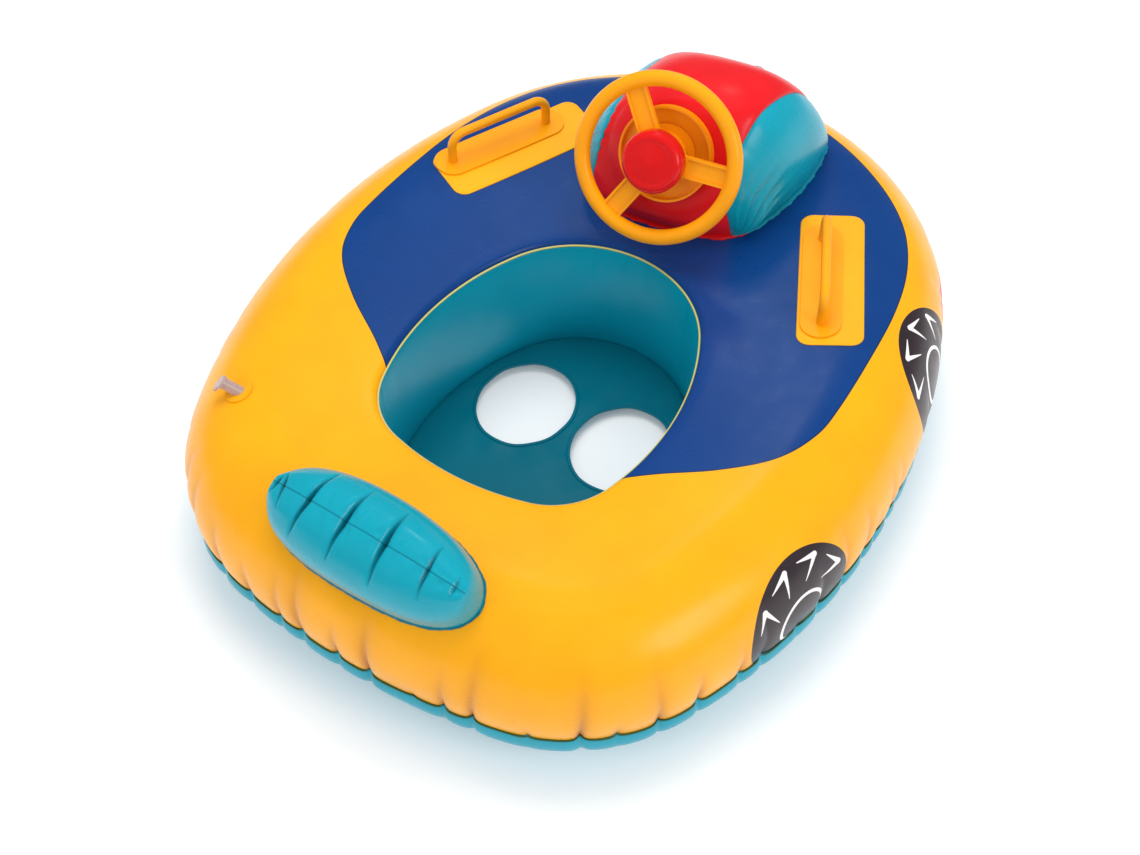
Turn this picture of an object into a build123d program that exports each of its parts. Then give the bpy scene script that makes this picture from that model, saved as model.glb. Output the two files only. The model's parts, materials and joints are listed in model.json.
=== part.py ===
"""Inflatable child's swim float seat in the form of a car, with a steering wheel. Millimetres.

Frame: +Y forward, +X starboard, +Z up, origin at the bottom centre of the hull.
The air chambers are shown blown up, with their welded sheets as separate shells.
"""
import os
from math import atan2, cos, degrees, hypot, radians, sin, sqrt, tan

from build123d import *

os.makedirs("parts", exist_ok=True)

# ---- driving dimensions -------------------------------------------------------------------
sheet = 1.0                 # modelled thickness of every welded sheet
weld_width = 5.0            # width of a welded flap

hull_length = 800.0
hull_width = 652.0
hull_height = 165.0
hull_widest = -25.0         # where the hull is widest, forward of the middle
bow_radius = 0.46 * hull_width          # the outline closes while this stays under half the width
stern_radius = 1.074 * hull_width
stern_corner_radius = 0.284 * hull_width
tube_radius = 82.0          # round of the hull's outer side
crown_flat = 2.0            # level strip between the outer round and the dish towards the seat
seam_height = 58.0          # outer weld, a little below the hull's half height

seat_length = 319.0
seat_width = 266.0
seat_front = 85.0
seat_widest = -98.0
seat_front_radius = 117.0
seat_rear_radius = 260.0
seat_corner_radius = 75.0
rim_height = 150.0          # the deck dishes down to this height at the seat
floor_height = 12.0
leg_hole_width = 98.0
leg_hole_length = 110.0
leg_hole_spacing = 112.0
leg_hole_y = -37.0
hem_width = 3.0

console_width = 156.0       # across the red panel, seam plane to seam plane
console_foot_y = 133.0      # foot of the console's face
console_knee = 56.0         # flat of the face below the steering base's middle
console_brow = 46.5         # and above it
console_brow_radius = 25.0
console_back_radius = 132.0
console_root_z = 120.0      # the outline is drawn this deep and then trimmed by the deck
console_round = 19.0        # how far the panel rolls over before each seam
gusset_bulge = 15.0
gusset_round = 4.5          # how far the gusset's face is drawn in
gusset_shoulder = 0.6       # share of the bulge that stands straight

wheel_y = 113.0
wheel_z = 251.0
wheel_tilt = 62.0           # between the wheel's axis and the vertical
wheel_turn = 9.0            # the soft console lets the wheel look a little to starboard
rim_radius = 75.0
rim_rod_radius = 7.6
spoke_count = 3
spoke_width = 20.5
spoke_thickness = 6.0
spoke_recess = 2.0
spoke_lip = 2.4
hub_radius = 27.0
boss_radius = 25.0
boss_top = 9.5
boss_ring_height = 1.6
boss_ring_radius = 26.6
neck_radius = 19.0
spindle_radius = 6.0
spindle_top = 9.5
spindle_foot_radius = 14.0
bore_clearance = 0.3
running_gap = 0.3
base_flange_radius = 46.0
base_flange_offset = 33.0   # wheel's middle plane back to the base's rear face
base_flange_thickness = 2.0
base_lip_height = 11.0
base_lip_thickness = 2.2
base_collar_radius = 29.0
base_boss_radius = 22.0
base_collar_step = 5.0
base_boss_height = 13.0
washer_thickness = 1.2
clip_thickness = 1.2
clip_groove_depth = 1.2
clip_radius = 9.5
well_radius = 12.0
well_floor = 6.0

squeaker_plate_radius = 24.0
squeaker_plate_thickness = 1.4
squeaker_reed_radius = 2.0
bulb_radius = 16.0

cap_radius = 29.7
cap_wall = 2.3
cap_top = 25.5
cap_face_radius = 20.0
cap_round = 9.0
cap_face_drop = 2.0
cap_lip_height = 1.8
horn_travel = 3.0

patch_length = 174.0
patch_width = 62.0
patch_corner = 13.0
patch_x = 179.0
patch_y = 142.0
patch_toe_in = 25.0
handle_reach = 112.0        # between the middles of the handle's two legs
handle_rod_radius = 4.6
handle_rise = 33.0          # middle of the grip above the deck
handle_bend = 15.0
pad_width = 38.0
pad_thickness = 2.0
handle_shift = {"left": (-14.0, -12.0), "right": (9.0, -4.0)}   # inboard, forward of the patch's middle

backrest_length = 214.0
backrest_depth = 94.0
backrest_height = 50.0
backrest_y = -340.0
backrest_lean = 20.0
backrest_end_radius = 43.0
backrest_round = 38.0
backrest_root = 30.0        # drawn this far into the deck and then trimmed by it
air_hole_radius = 6.0
fin_width = 4.0

valve_flange_radius = 13.0
valve_flange_thickness = 1.2
stem_radius = 5.6
stem_bore_radius = 3.6
stem_length = 17.0
stem_root = 6.0             # drawn this far into the chamber and then trimmed by its skin
stem_floor = 6.0            # height of the stem's inner floor, clear of the leaning seat
flap_thickness = 0.8
plug_clearance = 0.15
plug_shank = 8.0
plug_head_radius = 6.6
plug_head_thickness = 3.0
plug_tab_length = 8.0
plug_tab_width = 8.0
plug_edge = 0.8
main_valve_inset = 59.0     # in from the hull's outline, on the port stern corner
main_valve_bearing = 29.4   # aft of square to port
main_valve_lean = 48.0
console_valve_z = 205.0

# ---- outlines and air volumes -------------------------------------------------------------


def egg_arcs(length, width, front, widest, front_r, rear_r, corner_r):
    """Centres, radii and angles of the tangent arcs of a closed egg, symmetric about X = 0."""
    bow = (0.0, front - front_r)
    stern = (0.0, front - length + rear_r)
    lead = widest - bow[1]
    half = width / 2
    side_r = (half**2 + lead**2 - front_r**2) / (2 * (half - front_r))
    side = (half - side_r, widest)
    apart = hypot(stern[0] - side[0], stern[1] - side[1])
    along = ((stern[0] - side[0]) / apart, (stern[1] - side[1]) / apart)
    to_side = side_r - corner_r
    to_stern = rear_r - corner_r
    run = (to_side**2 - to_stern**2 + apart**2) / (2 * apart)
    rise = sqrt(to_side**2 - run**2)
    corners = []
    for sign in (1, -1):
        x = side[0] + along[0] * run - sign * along[1] * rise
        y = side[1] + along[1] * run + sign * along[0] * rise
        corners.append((x, y))
    corner = min(corners, key=lambda place: place[1])
    turn_front = degrees(atan2(bow[1] - side[1], bow[0] - side[0]))
    turn_corner = degrees(atan2(corner[1] - side[1], corner[0] - side[0]))
    turn_rear = degrees(atan2(corner[1] - stern[1], corner[0] - stern[0]))
    return bow, side, corner, stern, side_r, turn_front, turn_corner, turn_rear


def egg_face(arcs, front_r, rear_r, corner_r, inset):
    """Draws the egg, moved in by inset, as a face in the open sketch."""
    bow, side, corner, stern, side_r, turn_front, turn_corner, turn_rear = arcs
    with BuildLine() as rim:
        CenterArc(bow, front_r - inset, turn_front, 180 - 2 * turn_front)
        for sign in (1, -1):
            sweep_side = turn_front - turn_corner
            start = turn_corner if sign > 0 else 180 - turn_front
            CenterArc((sign * side[0], side[1]), side_r - inset, start, sweep_side)
            sweep_corner = turn_corner - turn_rear
            start = turn_rear if sign > 0 else 180 - turn_corner
            CenterArc((sign * corner[0], corner[1]), corner_r - inset, start, sweep_corner)
        CenterArc(stern, rear_r - inset, -180 - turn_rear, 180 + 2 * turn_rear)
    make_face(rim.edges())


hull_arcs = egg_arcs(
    hull_length, hull_width, hull_length / 2, hull_widest,
    bow_radius, stern_radius, stern_corner_radius,
)
seat_arcs = egg_arcs(
    seat_length, seat_width, seat_front, seat_widest,
    seat_front_radius, seat_rear_radius, seat_corner_radius,
)


def hull_outline(inset):
    egg_face(hull_arcs, bow_radius, stern_radius, stern_corner_radius, inset)


def seat_outline(inset):
    egg_face(seat_arcs, seat_front_radius, seat_rear_radius, seat_corner_radius, inset)


def hull_volume(inset):
    """The hull blown up, moved in by inset: round sides, a dished deck and the seat's well."""
    with BuildPart() as volume:
        with BuildSketch(Plane.XY.offset(inset)):
            hull_outline(inset)
        extrude(amount=hull_height - 2 * inset)
        rims = volume.edges().group_by(Axis.Z)
        fillet(rims[0] + rims[-1], radius=tube_radius - inset)
        with BuildSketch(Plane.XY.offset(hull_height - inset)) as crown:
            hull_outline(tube_radius + crown_flat)
        with BuildSketch(Plane.XY.offset(rim_height - inset)) as rim:
            seat_outline(-inset)
        loft([crown.sketch.face(), rim.sketch.face()], ruled=True, mode=Mode.SUBTRACT)
        with BuildSketch(Plane.XY):
            seat_outline(-inset)
        extrude(amount=hull_height, mode=Mode.SUBTRACT)
    return volume.part


def seat_prism(inset, bottom, top):
    """A straight plug of the seat's outline, used to trim sheets at the well."""
    with BuildPart() as prism:
        with BuildSketch(Plane.XY.offset(bottom)):
            seat_outline(inset)
        extrude(amount=top - bottom)
    return prism.part


hull_outside = hull_volume(0)
hull_air = hull_volume(sheet)
hull_cover = hull_volume(-sheet)
hull_pad_cover = hull_volume(-sheet - pad_thickness)

# ---- hull ----------------------------------------------------------------------------------
well_plug = seat_prism(-sheet, -hull_height, 2 * hull_height)
backrest_slope = Plane(
    origin=(0, backrest_y, hull_height - tube_radius + tube_radius * cos(radians(backrest_lean))),
    x_dir=(1, 0, 0),
    z_dir=(0, -sin(radians(backrest_lean)), cos(radians(backrest_lean))),
)

with BuildPart() as top_skin:
    add(hull_outside)
    add(hull_air, mode=Mode.SUBTRACT)
    add(well_plug, mode=Mode.SUBTRACT)
    split(bisect_by=Plane.XY.offset(seam_height), keep=Keep.TOP)
    with BuildSketch(backrest_slope.offset(-backrest_root)):
        Circle(air_hole_radius)
    extrude(amount=2 * backrest_root, mode=Mode.SUBTRACT)
top_skin.part.label = "top_skin"
export_step(top_skin.part, "parts/top_skin.step")

with BuildPart() as bottom_skin:
    add(hull_outside)
    add(hull_air, mode=Mode.SUBTRACT)
    add(well_plug, mode=Mode.SUBTRACT)
    split(bisect_by=Plane.XY.offset(seam_height), keep=Keep.BOTTOM)
bottom_skin.part.label = "bottom_skin"
export_step(bottom_skin.part, "parts/bottom_skin.step")

with BuildPart() as outer_seam_weld:
    with BuildSketch(Plane.XY.offset(seam_height - sheet)):
        hull_outline(0)
    extrude(amount=2 * sheet)
    add(hull_outside, mode=Mode.SUBTRACT)
    add(seat_prism(-weld_width, 0, hull_height), mode=Mode.SUBTRACT)
outer_seam_weld.part.label = "outer_seam_weld"
export_step(outer_seam_weld.part, "parts/outer_seam_weld.step")

with BuildPart() as seat_wall:
    add(hull_outside)
    add(hull_air, mode=Mode.SUBTRACT)
    add(well_plug, mode=Mode.INTERSECT)
seat_wall.part.label = "seat_wall"
export_step(seat_wall.part, "parts/seat_wall.step")

with BuildPart() as seat_rim_weld:
    add(seat_prism(0, rim_height - sheet, rim_height))
    add(seat_prism(hem_width, 0, hull_height), mode=Mode.SUBTRACT)
seat_rim_weld.part.label = "seat_rim_weld"
export_step(seat_rim_weld.part, "parts/seat_rim_weld.step")

leg_holes = [(side * leg_hole_spacing / 2, leg_hole_y) for side in (-1, 1)]

with BuildPart() as seat_floor:
    add(seat_prism(0, floor_height - sheet, floor_height))
    with BuildSketch(Plane.XY):
        with Locations(*leg_holes):
            Ellipse(leg_hole_width / 2, leg_hole_length / 2)
    extrude(amount=hull_height, mode=Mode.SUBTRACT)
seat_floor.part.label = "seat_floor"
export_step(seat_floor.part, "parts/seat_floor.step")

with BuildPart() as leg_hole_hems:
    with BuildSketch(Plane.XY.offset(floor_height)):
        with Locations(*leg_holes):
            Ellipse(leg_hole_width / 2 + hem_width, leg_hole_length / 2 + hem_width)
            Ellipse(leg_hole_width / 2, leg_hole_length / 2, mode=Mode.SUBTRACT)
    extrude(amount=sheet)
leg_hole_hems.part.label = "leg_hole_hems"
export_step(leg_hole_hems.part, "parts/leg_hole_hems.step")

# ---- steering wheel's axes ------------------------------------------------------------------
tilt = radians(wheel_tilt)
turn = radians(wheel_turn)
wheel_middle = Vector(0, wheel_y, wheel_z)
wheel_across = Vector(cos(turn), sin(turn), 0)
wheel_out = Vector(sin(turn) * sin(tilt), -cos(turn) * sin(tilt), cos(tilt))
wheel_plane = Plane(origin=wheel_middle, x_dir=wheel_across, z_dir=wheel_out)
wheel_section = Plane(origin=wheel_middle, x_dir=wheel_across, z_dir=wheel_across.cross(wheel_out))
wheel_axis = Axis(origin=wheel_middle, direction=wheel_out)

base_rear = -base_flange_offset
base_front = base_rear + base_flange_thickness
boss_front = base_front + base_boss_height
washer_front = boss_front + washer_thickness
spoke_front = spoke_thickness / 2

# ---- console --------------------------------------------------------------------------------
face_middle = wheel_middle + wheel_out * base_rear
face_slope = atan2(cos(turn) * sin(tilt), cos(tilt))


def console_profile(plane, side, inset):
    """Side view of the console on the plane across it at X = side, moved in by inset."""
    up_face = (cos(face_slope), sin(face_slope))
    y = face_middle.Y + tan(turn) * (side - face_middle.X)
    knee = (y - console_knee * up_face[0], face_middle.Z - console_knee * up_face[1])
    brow = (y + console_brow * up_face[0], face_middle.Z + console_brow * up_face[1])
    crest = (
        brow[0] + console_brow_radius * up_face[1],
        brow[1] + console_brow_radius * (1 - up_face[0]),
    )
    foot = (console_foot_y + tan(turn) * side, console_root_z)
    back = (crest[0] + console_back_radius, crest[1] - console_back_radius)
    root = (back[0], console_root_z)
    with BuildSketch(plane) as outline:
        with BuildLine() as rim:
            Line(knee, brow)
            TangentArc(brow, crest, tangent=up_face)
            TangentArc(crest, back, tangent=(1, 0))
            Line(back, root)
            Line(root, foot)
            TangentArc(knee, foot, tangent=(-up_face[0], -up_face[1]))
        make_face(rim.edges())
        if inset:
            offset(amount=-inset, kind=Kind.INTERSECTION, mode=Mode.REPLACE)
    return outline.sketch.face()


def console_block(inset):
    """The red panel's air: the side profile carried across, rolled over before the seams."""
    half = console_width / 2 - inset
    with BuildPart() as block:
        loft(
            [
                console_profile(Plane.YZ.offset(-half), -half, inset),
                console_profile(Plane.YZ.offset(half), half, inset),
            ],
            ruled=True,
        )
        side_edges = block.edges().filter_by(lambda edge: abs(abs(edge.center().X) - half) < sheet / 10)
        above_root = side_edges.filter_by(lambda edge: edge.bounding_box().max.Z > console_root_z + 2 * sheet)
        fillet(above_root, radius=console_round - inset)
    return block.part


def gusset_block(sign, inset):
    """The blown side wall, standing out of the panel's seam plane and drawn in towards its face."""
    side = sign * console_width / 2
    root = side - sign * console_round
    reach = gusset_bulge - inset
    steps = (
        (root, 0),
        (side + sign * reach * gusset_shoulder, 0),
        (side + sign * reach, gusset_round),
    )
    sections = [console_profile(Plane.YZ.offset(x), side, console_round + inset + drawn_in) for x, drawn_in in steps]
    with BuildPart() as block:
        loft(sections, ruled=True)
    return block.part


def console_volume(inset):
    """All of the console's air, panel and both gussets."""
    with BuildPart() as volume:
        add(console_block(inset))
        add(gusset_block(1, inset))
        add(gusset_block(-1, inset))
    return volume.part


console_outside = console_volume(0)
console_air = console_volume(sheet)
console_spread = console_volume(-weld_width)
panel_outside = console_block(0)

with BuildPart() as console_panel:
    add(panel_outside)
    add(console_air, mode=Mode.SUBTRACT)
    add(hull_outside, mode=Mode.SUBTRACT)
console_panel.part.label = "console_panel"
export_step(console_panel.part, "parts/console_panel.step")

for sign, side_name in ((-1, "left"), (1, "right")):
    with BuildPart() as gusset:
        add(gusset_block(sign, 0))
        add(console_air, mode=Mode.SUBTRACT)
        add(panel_outside, mode=Mode.SUBTRACT)
        add(hull_outside, mode=Mode.SUBTRACT)
    gusset.part.label = f"console_gusset_{side_name}"
    export_step(gusset.part, f"parts/console_gusset_{side_name}.step")

with BuildPart() as console_base_weld:
    add(hull_cover)
    add(hull_outside, mode=Mode.SUBTRACT)
    add(console_spread, mode=Mode.INTERSECT)
    add(console_outside, mode=Mode.SUBTRACT)
console_base_weld.part.label = "console_base_weld"
export_step(console_base_weld.part, "parts/console_base_weld.step")

# ---- steering base, spindle and wheel -------------------------------------------------------
bore = spindle_radius + bore_clearance
foot_top = base_front + base_collar_step / 2

with BuildPart() as steering_base:
    with BuildSketch(wheel_section):
        with BuildLine():
            Polyline(
                (bore, boss_front),
                (base_boss_radius, boss_front),
                (base_boss_radius, base_front + base_collar_step),
                (base_collar_radius, base_front + base_collar_step),
                (base_collar_radius, base_front),
                (base_flange_radius - base_lip_thickness, base_front),
                (base_flange_radius - base_lip_thickness, base_rear + base_lip_height),
                (base_flange_radius, base_rear + base_lip_height),
                (base_flange_radius, base_rear),
                (spindle_foot_radius + bore_clearance, base_rear),
                (spindle_foot_radius + bore_clearance, foot_top + bore_clearance),
                (bore, foot_top + bore_clearance),
                close=True,
            )
        make_face()
    revolve(axis=wheel_axis)
steering_base.part.label = "steering_base"
export_step(steering_base.part, "parts/steering_base.step")

neck_rear = washer_front + running_gap
clip_rear = well_floor + running_gap
ring_front = boss_top + boss_ring_height

with BuildPart() as spindle:
    with BuildSketch(wheel_section):
        with BuildLine():
            Polyline(
                (0, base_rear),
                (spindle_foot_radius, base_rear),
                (spindle_foot_radius, foot_top),
                (spindle_radius, foot_top),
                (spindle_radius, clip_rear - running_gap / 3),
                (spindle_radius - clip_groove_depth, clip_rear - running_gap / 3),
                (spindle_radius - clip_groove_depth, clip_rear + clip_thickness + running_gap / 3),
                (spindle_radius, clip_rear + clip_thickness + running_gap / 3),
                (spindle_radius, spindle_top),
                (0, spindle_top),
                close=True,
            )
        make_face()
    revolve(axis=wheel_axis)
spindle.part.label = "spindle"
export_step(spindle.part, "parts/spindle.step")

with BuildPart() as bearing_washer:
    with BuildSketch(wheel_plane.offset(boss_front)):
        Circle(base_boss_radius - base_lip_thickness)
        Circle(bore, mode=Mode.SUBTRACT)
    extrude(amount=washer_thickness)
bearing_washer.part.label = "bearing_washer"
export_step(bearing_washer.part, "parts/bearing_washer.step")

with BuildPart() as steering_wheel:
    with BuildSketch(wheel_section):
        with BuildLine():
            Polyline(
                (bore, neck_rear),
                (neck_radius, neck_rear),
                (neck_radius, -spoke_front),
                (hub_radius, -spoke_front),
                (hub_radius, spoke_front),
                (boss_radius, spoke_front),
                (boss_radius, boss_top),
                (boss_ring_radius, boss_top),
                (boss_ring_radius, ring_front),
                (well_radius, ring_front),
                (well_radius, well_floor),
                (bore, well_floor),
                close=True,
            )
        make_face()
        with Locations((rim_radius, 0)):
            Circle(rim_rod_radius)
    revolve(axis=wheel_axis)
    with BuildSketch(wheel_plane.offset(-spoke_front)):
        with PolarLocations(0, spoke_count):
            with Locations(((hub_radius + rim_radius) / 2 - boss_ring_height, 0)):
                Rectangle(rim_radius - hub_radius + 2 * boss_ring_height, spoke_width)
        Circle(boss_radius, mode=Mode.SUBTRACT)
    extrude(amount=spoke_thickness)
    with BuildSketch(wheel_plane.offset(spoke_front - spoke_recess)):
        with PolarLocations(0, spoke_count):
            with Locations(((hub_radius + rim_radius - rim_rod_radius) / 2 + spoke_lip / 2, 0)):
                Rectangle(
                    rim_radius - rim_rod_radius - hub_radius - spoke_lip,
                    spoke_width - 2 * spoke_lip,
                )
    extrude(amount=spoke_recess, mode=Mode.SUBTRACT)
steering_wheel.part.label = "steering_wheel"
export_step(steering_wheel.part, "parts/steering_wheel.step")

with BuildPart() as retaining_clip:
    with BuildSketch(wheel_plane.offset(clip_rear)):
        Circle(clip_radius)
        Circle(spindle_radius - clip_groove_depth, mode=Mode.SUBTRACT)
        with Locations((0, -clip_radius)):
            Rectangle(clip_radius, clip_radius, mode=Mode.SUBTRACT)
    extrude(amount=clip_thickness)
retaining_clip.part.label = "retaining_clip"
export_step(retaining_clip.part, "parts/retaining_clip.step")

with BuildPart() as squeaker_plate:
    with BuildSketch(wheel_plane.offset(ring_front)):
        Circle(squeaker_plate_radius)
        Circle(squeaker_reed_radius, mode=Mode.SUBTRACT)
    extrude(amount=squeaker_plate_thickness)
squeaker_plate.part.label = "squeaker_plate"
export_step(squeaker_plate.part, "parts/squeaker_plate.step")

plate_front = ring_front + squeaker_plate_thickness
bulb_front = cap_top - cap_wall - cap_face_drop - horn_travel - running_gap

with BuildPart() as squeaker_bulb:
    with BuildSketch(wheel_section):
        with BuildLine():
            Polyline(
                (0, bulb_front),
                (0, bulb_front - sheet),
                (bulb_radius - 2 * sheet, bulb_front - sheet),
                (bulb_radius - sheet, plate_front),
                (bulb_radius, plate_front),
                (bulb_radius - sheet, bulb_front),
                close=True,
            )
        make_face()
    revolve(axis=wheel_axis)
squeaker_bulb.part.label = "squeaker_bulb"
export_step(squeaker_bulb.part, "parts/squeaker_bulb.step")

cap_lip_front = boss_top - running_gap
cap_rear = cap_lip_front - cap_lip_height
cap_shoulder = cap_top - cap_round
cap_inside = boss_ring_radius + running_gap

with BuildPart() as horn_cap:
    with BuildSketch(wheel_section):
        with BuildLine():
            Line((cap_radius, cap_rear), (cap_radius, cap_shoulder))
            TangentArc((cap_radius, cap_shoulder), (cap_face_radius, cap_top - cap_face_drop), tangent=(0, 1))
            Line((cap_face_radius, cap_top - cap_face_drop), (0, cap_top))
            Line((0, cap_top), (0, cap_top - cap_wall))
            Line((0, cap_top - cap_wall), (cap_face_radius - cap_wall, cap_top - cap_wall - cap_face_drop))
            TangentArc(
                (cap_inside, cap_shoulder),
                (cap_face_radius - cap_wall, cap_top - cap_wall - cap_face_drop),
                tangent=(0, 1),
            )
            Line((cap_inside, cap_shoulder), (cap_inside, cap_lip_front))
            Line((cap_inside, cap_lip_front), (boss_radius + running_gap, cap_lip_front))
            Line((boss_radius + running_gap, cap_lip_front), (boss_radius + running_gap, cap_rear))
            Line((boss_radius + running_gap, cap_rear), (cap_radius, cap_rear))
        make_face()
    revolve(axis=wheel_axis)
horn_cap.part.label = "horn_cap"
export_step(horn_cap.part, "parts/horn_cap.step")

# ---- grab handles ---------------------------------------------------------------------------
for sign, side_name in ((-1, "left"), (1, "right")):
    toe = radians(sign * patch_toe_in)
    forward = Vector(-sin(toe), cos(toe), 0)
    inboard = Vector(-sign * cos(toe), -sign * sin(toe), 0)
    patch_middle = Vector(sign * patch_x, patch_y, 0)
    shift = handle_shift[side_name]
    handle_middle = patch_middle + inboard * shift[0] + forward * shift[1]

    with BuildPart() as handle_patch:
        with BuildSketch(Plane(origin=patch_middle, x_dir=forward, z_dir=(0, 0, 1))):
            RectangleRounded(patch_length, patch_width, patch_corner)
        extrude(amount=2 * hull_height)
        add(hull_cover, mode=Mode.INTERSECT)
        add(hull_outside, mode=Mode.SUBTRACT)
        split(bisect_by=Plane.XY.offset(seam_height), keep=Keep.TOP)
    handle_patch.part.label = f"handle_patch_{side_name}"
    export_step(handle_patch.part, f"parts/handle_patch_{side_name}.step")

    with BuildPart() as handle:
        with BuildSketch(Plane(origin=handle_middle, x_dir=forward, z_dir=(0, 0, 1))):
            SlotCenterToCenter(handle_reach, pad_width)
        extrude(amount=2 * hull_height)
        add(hull_pad_cover, mode=Mode.INTERSECT)
        add(hull_cover, mode=Mode.SUBTRACT)
        split(bisect_by=Plane.XY.offset(seam_height), keep=Keep.TOP)
        upright = Plane(origin=handle_middle, x_dir=forward, z_dir=forward.cross(Vector(0, 0, 1)))
        grip_height = hull_height + handle_rise
        leg = handle_reach / 2
        with BuildLine(upright) as loop:
            FilletPolyline(
                (-leg, rim_height),
                (-leg, grip_height),
                (leg, grip_height),
                (leg, rim_height),
                radius=handle_bend,
            )
        with BuildSketch(Plane(origin=loop.line @ 0, z_dir=loop.line % 0)):
            Circle(handle_rod_radius)
        sweep(path=loop.line)
        add(hull_cover, mode=Mode.SUBTRACT)
    handle.part.label = f"handle_{side_name}"
    export_step(handle.part, f"parts/handle_{side_name}.step")

# ---- backrest -------------------------------------------------------------------------------


def backrest_volume(inset):
    """The pillow blown up: a long oval standing square to the sloping deck, round on top."""
    half_depth = backrest_depth / 2
    end_x = backrest_length / 2 - backrest_end_radius
    side_r = (end_x**2 + half_depth**2 - backrest_end_radius**2) / (2 * (half_depth - backrest_end_radius))
    side_y = half_depth - side_r
    turn_end = degrees(atan2(-side_y, end_x))
    with BuildPart() as volume:
        with BuildSketch(backrest_slope.offset(-backrest_root)):
            with BuildLine() as rim:
                CenterArc((end_x, 0), backrest_end_radius - inset, -turn_end, 2 * turn_end)
                CenterArc((-end_x, 0), backrest_end_radius - inset, 180 - turn_end, 2 * turn_end)
                CenterArc((0, side_y), side_r - inset, turn_end, 180 - 2 * turn_end)
                CenterArc((0, -side_y), side_r - inset, 180 + turn_end, 180 - 2 * turn_end)
            make_face(rim.edges())
        extrude(amount=backrest_root + backrest_height - inset)
        top = volume.edges().sort_by(Axis(origin=(0, 0, 0), direction=backrest_slope.z_dir))[-4:]
        fillet(top, radius=backrest_round - inset)
    return volume.part


backrest_outside = backrest_volume(0)
backrest_air = backrest_volume(sheet)
backrest_spread = backrest_volume(-fin_width)
backrest_middle = Plane(origin=backrest_slope.origin, x_dir=(1, 0, 0), z_dir=backrest_slope.y_dir)

for keep, side_name in ((Keep.TOP, "front"), (Keep.BOTTOM, "rear")):
    with BuildPart() as backrest_sheet:
        add(backrest_outside)
        add(backrest_air, mode=Mode.SUBTRACT)
        add(hull_outside, mode=Mode.SUBTRACT)
        split(bisect_by=backrest_middle, keep=keep)
    backrest_sheet.part.label = f"backrest_{side_name}"
    export_step(backrest_sheet.part, f"parts/backrest_{side_name}.step")

with BuildPart() as backrest_seam_fin:
    with BuildSketch(backrest_middle.offset(-sheet)):
        Rectangle(2 * backrest_length, 2 * backrest_length)
    extrude(amount=2 * sheet)
    add(backrest_spread, mode=Mode.INTERSECT)
    add(backrest_outside, mode=Mode.SUBTRACT)
    add(hull_cover, mode=Mode.SUBTRACT)
backrest_seam_fin.part.label = "backrest_seam_fin"
export_step(backrest_seam_fin.part, "parts/backrest_seam_fin.step")

with BuildPart() as backrest_base_weld:
    add(hull_cover)
    add(hull_outside, mode=Mode.SUBTRACT)
    add(backrest_spread, mode=Mode.INTERSECT)
    add(backrest_outside, mode=Mode.SUBTRACT)
backrest_base_weld.part.label = "backrest_base_weld"
export_step(backrest_base_weld.part, "parts/backrest_base_weld.step")

# ---- valves ---------------------------------------------------------------------------------


def valve(name, chamber, seat, stem):
    """Writes a soft blow-up valve: its welded flange, its stem with a check flap, and the plug."""
    with BuildPart() as flange:
        with BuildSketch(seat.offset(-stem_length)):
            Circle(valve_flange_radius)
        extrude(amount=stem_length + valve_flange_thickness)
        add(chamber, mode=Mode.SUBTRACT)
        with BuildSketch(stem.offset(-stem_length)):
            Circle(stem_radius)
        extrude(amount=2 * stem_length, mode=Mode.SUBTRACT)
    flange.part.label = f"{name}_flange"
    export_step(flange.part, f"parts/{name}_flange.step")

    with BuildPart() as tube:
        with BuildSketch(stem.offset(-stem_root)):
            Circle(stem_radius)
        extrude(amount=stem_root + stem_length)
        add(chamber, mode=Mode.SUBTRACT)
        with BuildSketch(stem.offset(stem_floor)):
            Circle(stem_bore_radius)
        extrude(amount=stem_length, mode=Mode.SUBTRACT)
    tube.part.label = f"{name}_stem"
    export_step(tube.part, f"parts/{name}_stem.step")

    with BuildPart() as flap:
        with BuildSketch(stem.offset(stem_floor)):
            Circle(stem_bore_radius - plug_clearance)
        extrude(amount=flap_thickness)
    flap.part.label = f"{name}_check_flap"
    export_step(flap.part, f"parts/{name}_check_flap.step")

    with BuildPart() as plug:
        with BuildSketch(stem.offset(stem_length - plug_shank)):
            Circle(stem_bore_radius - plug_clearance)
        extrude(amount=plug_shank)
        with BuildSketch(stem.offset(stem_length)):
            Circle(plug_head_radius)
            with Locations((0, -plug_head_radius)):
                Rectangle(plug_tab_width, plug_tab_length)
        extrude(amount=plug_head_thickness)
        chamfer(plug.faces().filter_by(stem).sort_by(Axis(stem.origin, stem.z_dir))[-1].edges(), plug_edge)
    plug.part.label = f"{name}_plug"
    export_step(plug.part, f"parts/{name}_plug.step")


def leaning(origin, bearing, lean):
    """Plane at origin whose normal leans from the vertical towards a compass bearing, in degrees."""
    across = Vector(-sin(radians(bearing)), cos(radians(bearing)), 0)
    level = Vector(cos(radians(bearing)), sin(radians(bearing)), 0)
    normal = level * sin(radians(lean)) + Vector(0, 0, cos(radians(lean)))
    return Plane(origin=origin, x_dir=across, z_dir=normal)


stern_corner = hull_arcs[2]
main_bearing = 180 + main_valve_bearing
main_reach = stern_corner_radius - main_valve_inset
main_rise = sqrt(tube_radius**2 - (tube_radius - main_valve_inset) ** 2)
main_seat_lean = degrees(atan2(tube_radius - main_valve_inset, main_rise))
main_place = Vector(
    -stern_corner[0] + main_reach * cos(radians(main_bearing)),
    stern_corner[1] + main_reach * sin(radians(main_bearing)),
    hull_height - tube_radius + main_rise,
)
valve(
    "main_valve",
    hull_outside,
    leaning(main_place, main_bearing, main_seat_lean),
    leaning(main_place, main_bearing, main_valve_lean),
)

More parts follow.
